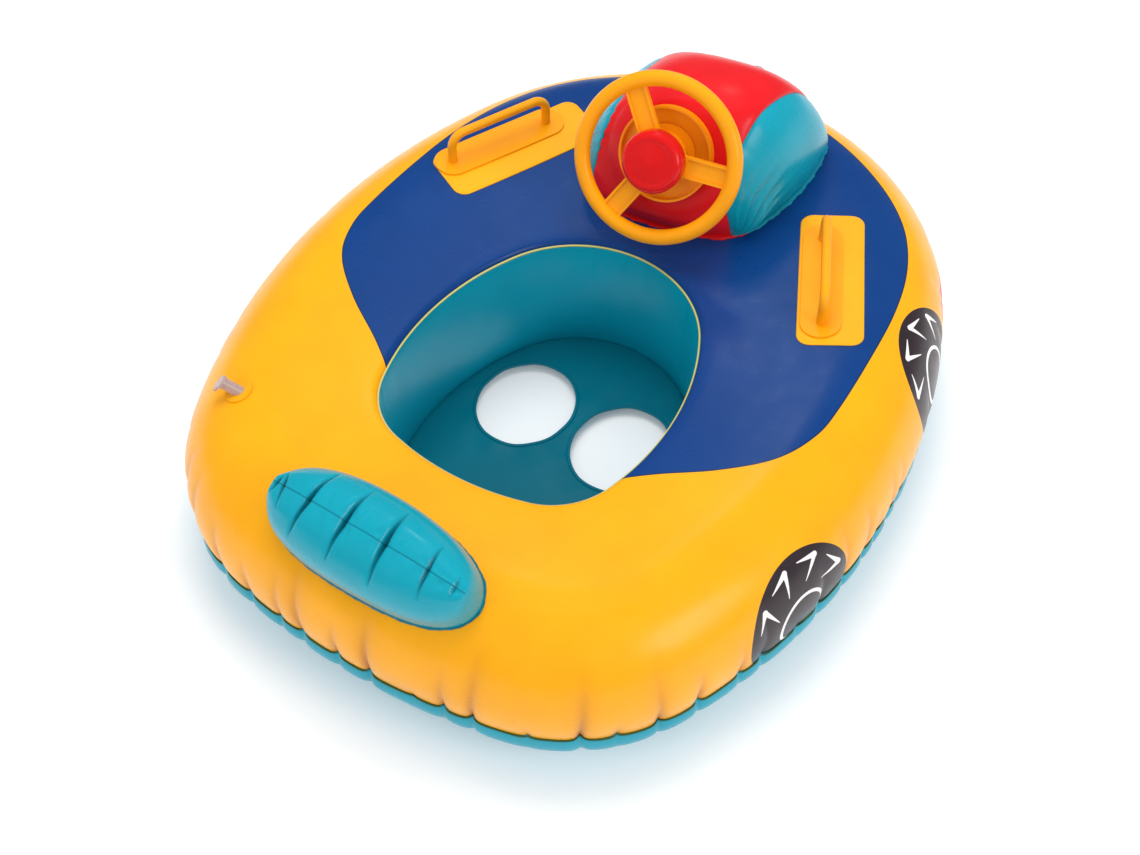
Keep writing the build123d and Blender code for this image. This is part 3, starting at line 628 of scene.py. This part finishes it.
bead_radius = 0.0011
bead_stand = 0.0004
rows = []
for turn in np.linspace(0, 2 * np.pi, 8, endpoint=False):
    flat = egg_points(seat_arcs, bearings[::2], bead_stand + bead_radius * math.cos(turn))
    level = wall_top + bead_stand + bead_radius * math.sin(turn)
    rows.append(np.column_stack([flat, np.full(around // 2, level)]))
mesh, order = ring_mesh(rows, closed=True)
bmesh.ops.recalc_face_normals(mesh, faces=mesh.faces)
bead_vinyl, tree, shader = principled("rim bead vinyl", Coat_Weight=0.08, Coat_Roughness=0.25)
vinyl_surface(tree, shader, colour(214, 204, 120), rough=0.4)
rim_bead = make_piece("seat_rim_bead", mesh, bead_vinyl)
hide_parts("seat_rim_weld")

# ---- Seat floor and leg hole hems ----------------------------------------------------------
# A single teal sheet across the foot of the well, cut with two oval leg holes whose edges are
# doubled over and welded flat. It sags slightly between them.
floor_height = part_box("seat_floor")[1].z
hole_width, hole_length = 0.098, 0.110
hole_x, hole_y = 0.056, -0.037
hole_middles = [(-hole_x, hole_y), (hole_x, hole_y)]
grid = bmesh.new()
bmesh.ops.create_grid(grid, x_segments=96, y_segments=112, size=1)
low, high = seat_line.min(0) - 0.001, seat_line.max(0) + 0.001
for vertex in grid.verts:
    vertex.co.x = low[0] + (vertex.co.x + 1) / 2 * (high[0] - low[0])
    vertex.co.y = low[1] + (vertex.co.y + 1) / 2 * (high[1] - low[1])
wall_line = egg_points(seat_arcs, spread_angles(seat_arcs, 0, 300)[0], 0.0005)


def hole_ratios(x, y):
    """How far a place is from each leg hole's middle, where 1 is that hole's edge."""
    return [math.hypot((x - a) / (hole_width / 2), (y - b) / (hole_length / 2)) for a, b in hole_middles]


reaches = inside_distance(np.array([v.co[:2] for v in grid.verts]), wall_line)
gone = [v for v, reach in zip(grid.verts, reaches) if reach < 0 or min(hole_ratios(v.co.x, v.co.y)) < 1]
bmesh.ops.delete(grid, geom=gone, context="VERTS")
for vertex in grid.verts:
    if not vertex.is_boundary:
        continue
    ratios = hole_ratios(vertex.co.x, vertex.co.y)
    ratio = min(ratios)
    x, y = hole_middles[ratios.index(ratio)]
    if ratio < 1.25:
        vertex.co.x = x + (vertex.co.x - x) / ratio
        vertex.co.y = y + (vertex.co.y - y) / ratio
    else:
        nearest = wall_line[np.argmin(np.linalg.norm(wall_line - np.array(vertex.co[:2]), axis=1))]
        vertex.co.x, vertex.co.y = nearest


def floor_level(x, y):
    """Height of the floor sheet, which sags and ripples a little round the leg holes."""
    near = min(hole_ratios(x, y))
    sag = 0.0016 * math.exp(-((near - 1) / 0.5) ** 2)
    bearing = math.atan2(y - hole_y, abs(x) - hole_x)
    ripple = 0.0007 * math.sin(bearing * 9 + 3 * near) * math.exp(-((near - 1.15) / 0.25) ** 2)
    return floor_height - sag + ripple


for vertex in grid.verts:
    vertex.co.z = floor_level(vertex.co.x, vertex.co.y)
bmesh.ops.recalc_face_normals(grid, faces=grid.faces)
face_out(grid, lambda p: Vector((0, 0, 1)))
floor_vinyl, tree, shader = principled("floor vinyl", Coat_Weight=0.06, Coat_Roughness=0.25)
vinyl_surface(tree, shader, colour(0, 114, 134), rough=0.38)
seat_floor = make_piece("seat_floor_sheet", grid, floor_vinyl)
thicken(seat_floor)
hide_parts("seat_floor")

hem_section = (
    (-0.0003, -0.0012), (-0.0003, 0.0006), (0.0003, 0.0010),
    (0.0024, 0.0010), (0.0030, 0.0005), (0.0030, -0.0012),
)
turns = np.linspace(0, 2 * np.pi, 120, endpoint=False)
for side, (x, y) in zip(("left", "right"), hole_middles):
    rows = []
    for out, lift in hem_section:
        ring_x = x + (hole_width / 2 + out) * np.cos(turns)
        ring_y = y + (hole_length / 2 + out) * np.sin(turns)
        rows.append(np.array([(px, py, floor_level(px, py) + lift) for px, py in zip(ring_x, ring_y)]))
    mesh, order = ring_mesh(rows, closed=True)
    bmesh.ops.recalc_face_normals(mesh, faces=mesh.faces)
    hem = make_piece(f"leg_hole_hem_{side}", mesh, floor_vinyl)
    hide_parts("leg_hole_hems")

# ---- Console -------------------------------------------------------------------------------
# An air pillow on the front deck that carries the steering wheel: a red PVC panel up its face
# and over its back, and a teal gusset welded in on each side, gathered along the welds.
wheel_joint = next(joint for joint in frame["joints"] if joint["name"] == "wheel_spin")
wheel_out = Vector(wheel_joint["axis"]).normalized()
wheel_middle = Vector(wheel_joint["pos_m"])
wheel_stand = 0.0330
face_middle = wheel_middle - wheel_stand * wheel_out
seam_profiles = {
    -1: [
        (-74, 131, 153), (-76, 124, 178), (-76, 128, 205), (-75, 142, 234), (-74, 166, 250), (-74, 200, 256),
        (-74, 240, 249), (-75, 266, 239), (-76, 290, 218), (-78, 307, 192), (-79, 316, 163),
    ],
    1: [
        (66, 151, 155), (66, 143, 178), (62, 139, 205), (60, 144, 232), (61, 162, 255), (64, 192, 276),
        (68, 232, 272), (72, 264, 256), (76, 290, 226), (79, 307, 192), (81, 316, 163),
    ],
}
middle_profile = [
    (-2, 129, 152), (-3, 117, 170), (-4, 117, 188), (-4.6, 141.8, 235.5), (-3, 162, 272), (0, 190, 285),
    (0, 222, 285), (0, 252, 275), (0, 284, 245), (0, 306, 204), (0, 318, 164),
]
stations = 97
seam_lines = {side: spline(np.array(profile) / 1000, stations) for side, profile in seam_profiles.items()}
middle_line = spline(np.array(middle_profile) / 1000, stations)
crease_rng = np.random.default_rng(23)
console_gathers = []
for k in range(34):
    at = crease_rng.uniform(0.004, 0.01) + k * 0.0105 + crease_rng.uniform(-0.003, 0.003)
    console_gathers.append((at, crease_rng.uniform(0.0006, 0.0022), crease_rng.uniform(0.10, 0.34)))


def seam_pucker(run, off, strength):
    """How far the console's weld draws a panel in, at a place along it and away from it."""
    total = np.zeros(len(run))
    for at, depth, reach in console_gathers:
        total += strength * depth * max(0.0, 1 - off / reach) ** 1.5 * np.exp(-np.abs(run - at) / 0.0026)
    return total


rows = []
steps = 64
flat_radius = 0.047
flat_blend = 0.016
panel_run = np.concatenate([[0], np.cumsum(np.linalg.norm(np.diff(seam_lines[1], axis=0), axis=1))])
for k in range(steps + 1):
    a = -math.cos(math.pi * k / steps)
    swell = (1 - abs(a) ** 2.6) ** 0.68
    ruled = seam_lines[-1] * (1 - a) / 2 + seam_lines[1] * (1 + a) / 2
    crown = middle_line - (seam_lines[-1] + seam_lines[1]) / 2
    line = ruled + crown * swell
    slope = np.gradient(line, axis=0)
    normal = np.column_stack([np.zeros(stations), -slope[:, 2], slope[:, 1]])
    normal /= np.linalg.norm(normal, axis=1)[:, None]
    strength = 1.0 if a < 0 else 0.25
    rows.append(line - normal * seam_pucker(panel_run, 1 - abs(a), strength)[:, None])
shaped = []
for line in rows:
    fixed = []
    for point in line:
        offset = Vector(point) - face_middle
        height = offset.dot(wheel_out)
        radial = (offset - height * wheel_out).length
        pull = 1 - min(max((radial - flat_radius) / flat_blend, 0), 1)
        fixed.append(Vector(point) + wheel_out * (-0.0002 - height) * pull * (abs(height) < 0.03))
    shaped.append(fixed)
mesh = bmesh.new()
bmesh.ops.create_grid(mesh, x_segments=stations - 1, y_segments=steps, size=1)
for vertex in mesh.verts:
    across = round((vertex.co.y + 1) / 2 * steps)
    up = round((vertex.co.x + 1) / 2 * (stations - 1))
    vertex.co = shaped[across][up]
bmesh.ops.recalc_face_normals(mesh, faces=mesh.faces)
face_out(mesh, lambda p: p - Vector((0, 0.23, 0.16)))
red_vinyl, tree, shader = principled("red vinyl", Coat_Weight=0.08, Coat_Roughness=0.2)
vinyl_surface(tree, shader, colour(228, 22, 30), rough=0.33)
panel = make_piece("console_red_panel", mesh, red_vinyl)
thicken(panel)
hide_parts("console_panel")

gusset_vinyl, tree, shader = principled("console teal vinyl", Coat_Weight=0.1, Coat_Roughness=0.16)
vinyl_surface(tree, shader, colour(12, 160, 182), rough=0.28)
foot_lines = {
    1: [
        (66, 151, 154), (79, 168, 157), (88, 195, 160), (94, 225, 162),
        (96, 255, 163), (94, 285, 163), (89, 306, 161), (81, 316, 163),
    ],
    -1: [
        (-74, 131, 153), (-83, 146, 157), (-90, 172, 160), (-94, 205, 162),
        (-95, 240, 163), (-93, 275, 163), (-88, 302, 161), (-79, 316, 163),
    ],
}
drops = 76
for side, side_name in ((-1, "left"), (1, "right")):
    seam = seam_lines[side]
    foot = spline(np.array(foot_lines[side]) / 1000, stations)
    run = np.linspace(0, 1, stations)
    rows = []
    for k in range(drops + 1):
        c = k / drops
        line = seam * (1 - c) + foot * c
        body = np.sin(np.pi * run) ** 0.6
        line[:, 0] += side * 0.019 * math.sin(math.pi * c**0.85) ** 0.8 * body
        folds = np.sin(c * 40 + 5 * run + 1.5 * np.sin(9 * run))
        folds = folds * np.exp(-((run - 0.13) / 0.15) ** 2) * math.exp(-((c - 0.6) / 0.32) ** 2)
        line[:, 0] += side * 0.0048 * folds * min(1, 4 * (1 - c))
        line[:, 0] -= side * seam_pucker(panel_run, c * 0.8, 1.1 if side < 0 else 0.4)
        rows.append(line)
    mesh = bmesh.new()
    bmesh.ops.create_grid(mesh, x_segments=stations - 1, y_segments=drops, size=1)
    for vertex in mesh.verts:
        down = round((vertex.co.y + 1) / 2 * drops)
        vertex.co = rows[down][round((vertex.co.x + 1) / 2 * (stations - 1))]
    bmesh.ops.remove_doubles(mesh, verts=mesh.verts, dist=0.00001)
    bmesh.ops.recalc_face_normals(mesh, faces=mesh.faces)
    face_out(mesh, lambda p: Vector((side, 0, 0.2)))
    gusset = make_piece(f"console_{side_name}_gusset", mesh, gusset_vinyl)
    thicken(gusset)
    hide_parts(f"console_gusset_{side_name}")


def on_deck(x, y, lift=0.0):
    """The point of the hull's top sheet over or under a place, raised by lift."""
    hit = deck.ray_cast(Vector((x, y, 0.4)), Vector((0, 0, -1)))[0]
    return Vector((x, y, (hit.z if hit is not None else hull_height) + lift))


base_line = np.concatenate([
    np.array([line[0][:2] for line in shaped])[:-1],
    spline(np.array(foot_lines[1])[:, :2] / 1000, 60)[:-1],
    np.array([line[-1][:2] for line in shaped])[::-1][:-1],
    spline(np.array(foot_lines[-1])[:, :2] / 1000, 60)[::-1][:-1],
])
base_line = spline(base_line[::3], 360, closed=True)
step = np.roll(base_line, -1, axis=0) - np.roll(base_line, 1, axis=0)
base_out = np.column_stack([step[:, 1], -step[:, 0]]) / np.linalg.norm(step, axis=1)[:, None]
ruffle = 0.0006 * np.sin(np.arange(360) * 0.55) + 0.0004 * np.sin(np.arange(360) * 1.3)
rows = []
for out, lift in ((-0.0012, 0.0), (-0.0012, 0.0018), (0.0012, 0.0017), (0.0045, 0.0012), (0.0052, 0.0)):
    flat = base_line + base_out * (out + ruffle * (out > 0.004))[:, None]
    rows.append(np.array([on_deck(x, y, lift) for x, y in flat]))
mesh, order = ring_mesh(rows, closed=True)
bmesh.ops.recalc_face_normals(mesh, faces=mesh.faces)
flap_vinyl, tree, shader = principled("console flap vinyl", Coat_Weight=0.08, Coat_Roughness=0.2)
side_share = add_node(tree, "ShaderNodeAttribute", attribute_name="flap_side").outputs["Fac"]
vinyl_surface(tree, shader, mixed(tree, side_share, colour(214, 20, 28), colour(12, 148, 172)), rough=0.33)
flap = make_piece("console_base_flap", mesh, flap_vinyl)
on_side = np.clip((np.abs(base_line[:, 0]) - 0.0745) / 0.002, 0, 1)
point_values(flap, "flap_side", "FLOAT", np.tile(on_side, len(rows)), order)
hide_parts("console_base_weld")

# ---- Handle patches ------------------------------------------------------------------------
# A rounded orange-yellow vinyl plate welded flat to the deck on each side, with a thin pressed
# rim. The moulded grab handle stands on it.
patch_length, patch_width, patch_corner = 0.174, 0.062, 0.013
toe_in = math.radians(25)
patch_vinyl, tree, shader = principled("patch vinyl", Coat_Weight=0.06, Coat_Roughness=0.25)
vinyl_surface(tree, shader, colour(255, 178, 22), rough=0.38, wave=0.0012)
patch_x, patch_y = 0.179, 0.142
patch_section = (
    (0.0, 0.0002), (0.6, 0.0002), (1.0, 0.0002), (1.0, 0.0007), (0.975, 0.0013), (0.93, 0.0013),
    (0.90, 0.0009), (0.8, 0.0010), (0.65, 0.0010), (0.5, 0.0010), (0.35, 0.0010), (0.2, 0.0010),
    (0.08, 0.0010), (0.0, 0.0010),
)
rim_count = 240
for sign, side_name in ((-1, "left"), (1, "right")):
    along = np.array((-sign * math.sin(toe_in), math.cos(toe_in)))
    across = np.array((along[1], -along[0]))
    middle = np.array((sign * patch_x, patch_y))
    straight = np.array((patch_length / 2 - patch_corner, patch_width / 2 - patch_corner))
    rim = []
    for k in range(rim_count):
        share = k / rim_count * 4
        corner, part = int(share), share - int(share)
        signs = ((1, 1), (-1, 1), (-1, -1), (1, -1))[corner]
        arc = math.pi / 2 * corner
        side_a, side_b = (straight[1], straight[0]) if corner % 2 == 0 else (straight[0], straight[1])
        quarter = side_a + math.pi / 2 * patch_corner + side_b
        at = part * quarter
        centre = np.array((signs[0] * straight[0], signs[1] * straight[1]))
        if at < side_a:
            start = centre + patch_corner * np.array((math.cos(arc), math.sin(arc)))
            point = start - np.array((-math.sin(arc), math.cos(arc))) * (side_a - at)
        elif at < quarter - side_b:
            bend = arc + (at - side_a) / patch_corner
            point = centre + patch_corner * np.array((math.cos(bend), math.sin(bend)))
        else:
            bend = arc + math.pi / 2
            point = centre + patch_corner * np.array((math.cos(bend), math.sin(bend)))
            point = point + np.array((-math.sin(bend), math.cos(bend))) * (at - quarter + side_b)
        rim.append(point)
    rim = np.array(rim)
    spine_end = (patch_length - patch_width) / 2
    spine = np.column_stack([np.clip(rim[:, 0], -spine_end, spine_end), 0 * rim[:, 1]])
    rows = []
    for share, lift in patch_section:
        flat = spine + (rim - spine) * share
        placed = middle + flat[:, :1] * along + flat[:, 1:] * across
        rows.append(np.array([on_deck(x, y, lift) for x, y in placed]))
    mesh, order = ring_mesh(rows)
    bmesh.ops.remove_doubles(mesh, verts=mesh.verts, dist=0.00002)
    bmesh.ops.recalc_face_normals(mesh, faces=mesh.faces)
    patch = make_piece(f"handle_plate_{side_name}", mesh, patch_vinyl)
    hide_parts(f"handle_patch_{side_name}")

# ---- Backrest ------------------------------------------------------------------------------
# A long air pillow welded across the stern deck: two teal PVC panels joined along its ridge,
# where deep creases pull in across the weld, and a flap round its foot. Painted shade darkens
# the ridge seam and the cores of the creases.
rest_tilt = math.radians(20)
rest_middle = Vector((0, -0.340, hull_height - tube_radius + tube_radius * math.cos(rest_tilt)))
rest_up = Vector((0, -math.sin(rest_tilt), math.cos(rest_tilt)))
rest_fore = Vector((0, rest_up.z, -rest_up.y))
rest_height = 0.050
rest_half_length = 0.107
count = 420


def rest_point(x, y, z):
    """A point given along, across and above the backrest's own plane."""
    return rest_middle + Vector((1, 0, 0)) * x + rest_fore * y + rest_up * z


def rest_foot(x, y):
    """Height of the hull under a place of the backrest's own plane."""
    hit = deck.ray_cast(rest_point(x, y, 0.1), -rest_up)[0]
    return (hit - rest_middle).dot(rest_up)


line = spline([
    (-0.106, 0.002), (-0.101, -0.016), (-0.085, -0.030), (-0.050, -0.039), (0.0, -0.042), (0.044, -0.040),
    (0.074, -0.033), (0.093, -0.021), (0.101, -0.006), (0.098, 0.009), (0.085, 0.023), (0.054, 0.037),
    (0.010, 0.045), (-0.040, 0.046), (-0.078, 0.038), (-0.099, 0.022),
], count, closed=True)
ridge_y = np.interp(line[:, 0], (-rest_half_length, 0, 0.101), (0.006, 0.002, -0.002))
ridge = np.column_stack([np.clip(line[:, 0] * 0.985, -0.1, 0.096), ridge_y])
creases = [
    (-0.096, 0.0034, 0.020, 0.0014, 0.12), (-0.088, 0.0044, 0.026, 0.0016, -0.16),
    (-0.0595, 0.0092, 0.046, 0.0024, 0.10), (-0.0208, 0.0092, 0.043, 0.0025, 0.04),
    (0.0196, 0.0096, 0.044, 0.0028, -0.03), (0.0627, 0.0050, 0.036, 0.0017, -0.05),
    (0.088, 0.0026, 0.020, 0.0014, 0.0),
]
rest_rng = np.random.default_rng(3)
ripple_ranges = ((-0.1, 0.1), (-0.0003, 0.0021), (0.010, 0.024), (-0.3, 0.3))
ripples = [[rest_rng.uniform(*ends) for ends in ripple_ranges] for _ in range(60)]
ridge_to_foot = 0.085
crease_shade_half_width = 0.0017
rows, crease_shade_rows = [], []
for share in (0.0, 0.4, 0.75, 1.0):
    flat = ridge + (line - ridge) * share
    rows.append(np.array([rest_point(x, y, rest_foot(x, y) + 0.0004) for x, y in flat]))
    crease_shade_rows.append(np.zeros(count))
feet = np.array([rest_foot(x, y) for x, y in line])
for share in np.concatenate([np.linspace(0.02, 0.86, 34), np.linspace(0.885, 1.0, 9)]):
    arc = share * math.pi / 2
    reach = math.cos(arc) ** 0.80 + 0.05 * math.sin(math.pi * min(1, share * 1.6)) * (share < 0.625)
    reach = max(reach, 0.0)
    crown = rest_height * (1 - 0.30 * np.abs(line[:, 0] / rest_half_length) ** 3.4)
    height = feet + (crown - feet) * math.sin(arc) ** 0.86
    flat = ridge + (line - ridge) * reach
    off = (1 - share) * ridge_to_foot
    # cut holds how strongly painted shade darkens each point in a crease's core.
    drawn, cut = np.zeros(count), np.zeros(count)
    ahead = np.sign(line[:, 1])
    for at, depth, length, width, lean in creases:
        fade = max(0.0, 1 - off / length)
        gap = np.abs(flat[:, 0] - at - lean * off * ahead)
        slit = np.exp(-(gap / (width * (0.35 + 0.65 * fade))) ** 1.25)
        drawn += depth * fade**0.8 * slit
        crease_shade_core = np.exp(-(gap / (crease_shade_half_width * (0.25 + 0.75 * fade))) ** 2)
        cut = np.maximum(cut, min(1.0, depth / 0.006) * fade**0.5 * crease_shade_core)
    for at, depth, length, lean in ripples:
        fade = max(0.0, 1 - off / length) * min(1, off / 0.004)
        gap = np.abs(flat[:, 0] - at - lean * off * ahead)
        drawn += depth * fade * np.exp(-gap / 0.0016)
    drawn += 0.0007 * math.exp(-off / 0.0012)
    push = np.column_stack([(flat - ridge) / 0.047 * 0.8, np.full(count, 1.0)])
    push /= np.linalg.norm(push, axis=1)[:, None]
    moved = np.column_stack([flat, height]) - push * drawn[:, None]
    rows.append(np.array([rest_point(*p) for p in moved]))
    crease_shade_rows.append(cut)
mesh, order = ring_mesh(rows)
# Stored for the material, which darkens the creases' cores with painted shade.
crease_shade_layer = mesh.verts.layers.float.new("crease_shade")
mesh.verts.ensure_lookup_table()
for index, cut in zip(order, np.concatenate(crease_shade_rows)):
    mesh.verts[index][crease_shade_layer] = cut
bmesh.ops.remove_doubles(mesh, verts=mesh.verts, dist=0.00001)
bmesh.ops.recalc_face_normals(mesh, faces=mesh.faces)
# Distance from the ridge, read by the material to paint shade along the seam.
seam_layer = mesh.verts.layers.float.new("seam_gap")
ridge_spots = np.array(rows[-1])
for vertex in mesh.verts:
    vertex[seam_layer] = float(np.min(np.linalg.norm(ridge_spots - np.array(vertex.co), axis=1)))
rest_vinyl, tree, shader = principled("backrest vinyl", Coat_Weight=0.14, Coat_Roughness=0.12)
# Painted shade: a deeper teal along the ridge seam and a near black-teal in the creases' cores.
gap = add_node(tree, "ShaderNodeAttribute", attribute_name="seam_gap").outputs["Fac"]
seam_painted_shade = within(tree, gap, 0.0010, 900.0)
cut = add_node(tree, "ShaderNodeAttribute", attribute_name="crease_shade").outputs["Fac"]
seam_shaded = mixed(tree, seam_painted_shade, colour(10, 160, 180), colour(5, 104, 124))
vinyl_surface(tree, shader, mixed(tree, cut, seam_shaded, colour(2, 52, 70)), rough=0.26)
backrest = make_piece("backrest_pillow", mesh, rest_vinyl)
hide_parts("backrest_front", "backrest_rear")

pillow = BVHTree.FromObject(backrest, bpy.context.evaluated_depsgraph_get())
rows = []
fin_half_thickness = 0.0004
for bearing in np.radians(np.linspace(-2, 182, 150)):
    look = Vector((1, 0, 0)) * math.cos(bearing) + rest_up * math.sin(bearing)
    start = rest_middle + rest_fore * float(np.interp(math.cos(bearing), (-1, 0, 1), (-0.003, 0.001, -0.004)))
    hit = pillow.ray_cast(start, look)[0]
    if hit is None:
        continue
    tall = 0.0035 * min(1, max(0, abs(math.cos(bearing)) - 0.80) / 0.12) + 0.0002
    low, high, half = hit - look * 0.001, hit + look * tall, rest_fore * fin_half_thickness
    rows.append([low - half, high - half, high + half, low + half])
mesh, order = ring_mesh(rows)
bmesh.ops.holes_fill(mesh, edges=[e for e in mesh.edges if e.is_boundary], sides=4)
bmesh.ops.recalc_face_normals(mesh, faces=mesh.faces)
# The fin has no seam_gap attribute, so this material paints it almost all in the seam's darker shade teal.
fin = make_piece("backrest_ridge_fin", mesh, rest_vinyl)
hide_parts("backrest_seam_fin")

step = np.roll(line, -1, axis=0) - np.roll(line, 1, axis=0)
line_out = np.column_stack([step[:, 1], -step[:, 0]]) / np.linalg.norm(step, axis=1)[:, None]
ruffle = 0.0007 * np.sin(np.arange(count) * 0.31) + 0.0004 * np.sin(np.arange(count) * 0.83)
rows = []
for out, lift in ((-0.002, 0.0002), (-0.002, 0.0012), (0.0002, 0.0012), (0.0012, 0.0009), (0.0016, 0.0002)):
    flat = line + line_out * (out + 0.3 * ruffle * (out > 0.001))[:, None]
    rows.append(np.array([rest_point(x, y, rest_foot(x, y) + lift) for x, y in flat]))
mesh, order = ring_mesh(rows, closed=True)
bmesh.ops.recalc_face_normals(mesh, faces=mesh.faces)
# The flap has no seam_gap attribute, so this material paints it almost all in the seam's darker shade teal.
rest_flap = make_piece("backrest_base_flap", mesh, rest_vinyl)
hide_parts("backrest_base_weld")

# ---- Steering wheel, its base and the horn cap ---------------------------------------------
# The wheel turns on a spindle held in a base that is welded to the console's face, all three
# injection moulded in smooth orange polythene. The cap snapped over the squeaker in the hub is
# soft red vinyl, polished by its mould.
orange_plastic, tree, shader = principled("orange plastic", Coat_Weight=0.06, Coat_Roughness=0.2)
vinyl_surface(tree, shader, colour(255, 164, 10), rough=0.3, grain=0.00003, wave=0.0003)
red_plastic, tree, shader = principled("red cap vinyl", Coat_Weight=0.2, Coat_Roughness=0.1)
vinyl_surface(tree, shader, colour(220, 18, 20), rough=0.24, grain=0.00002, wave=0.0002)
handle_vinyl, tree, shader = principled("handle vinyl", Coat_Weight=0.06, Coat_Roughness=0.25)
vinyl_surface(tree, shader, colour(255, 166, 12), rough=0.35, grain=0.00004, wave=0.0004)
white_plastic, tree, shader = principled("white plastic")
vinyl_surface(tree, shader, colour(236, 234, 228), rough=0.45, grain=0.00003, wave=0.0002)
spring_steel, tree, shader = principled("spring steel", Metallic=1.0)
vinyl_surface(tree, shader, colour(176, 178, 182), rough=0.32, grain=0.00003, wave=0.0001)
for name, finish in (
    ("steering_wheel", orange_plastic), ("steering_base", orange_plastic), ("spindle", orange_plastic),
    ("horn_cap", red_plastic), ("handle_left", handle_vinyl), ("handle_right", handle_vinyl),
    ("bearing_washer", white_plastic), ("squeaker_plate", white_plastic), ("squeaker_bulb", white_plastic),
    ("retaining_clip", spring_steel),
):
    nodes[name].data.materials.clear()
    nodes[name].data.materials.append(finish)

# ---- Valves --------------------------------------------------------------------------------
# Each air chamber fills through a soft clear vinyl stem with a plug on a strap; the stem leans
# out of a round flange that is welded to the sheet.
clear_vinyl, tree, shader = principled(
    "clear valve vinyl", IOR=1.5, Transmission_Weight=0.5, Coat_Weight=0.12, Coat_Roughness=0.15,
)
vinyl_surface(tree, shader, colour(236, 208, 202), rough=0.2, wave=0.0004)
for name, node in nodes.items():
    if "valve" in name:
        node.data.materials.clear()
        node.data.materials.append(clear_vinyl)
flange_tints = {"main_valve_flange": colour(248, 172, 20), "console_valve_flange": colour(206, 26, 32)}
for name, tint in flange_tints.items():
    flange_vinyl, tree, shader = principled(f"{name} vinyl")
    vinyl_surface(tree, shader, tint, rough=0.3, wave=0.0004)
    nodes[name].data.materials[0] = flange_vinyl
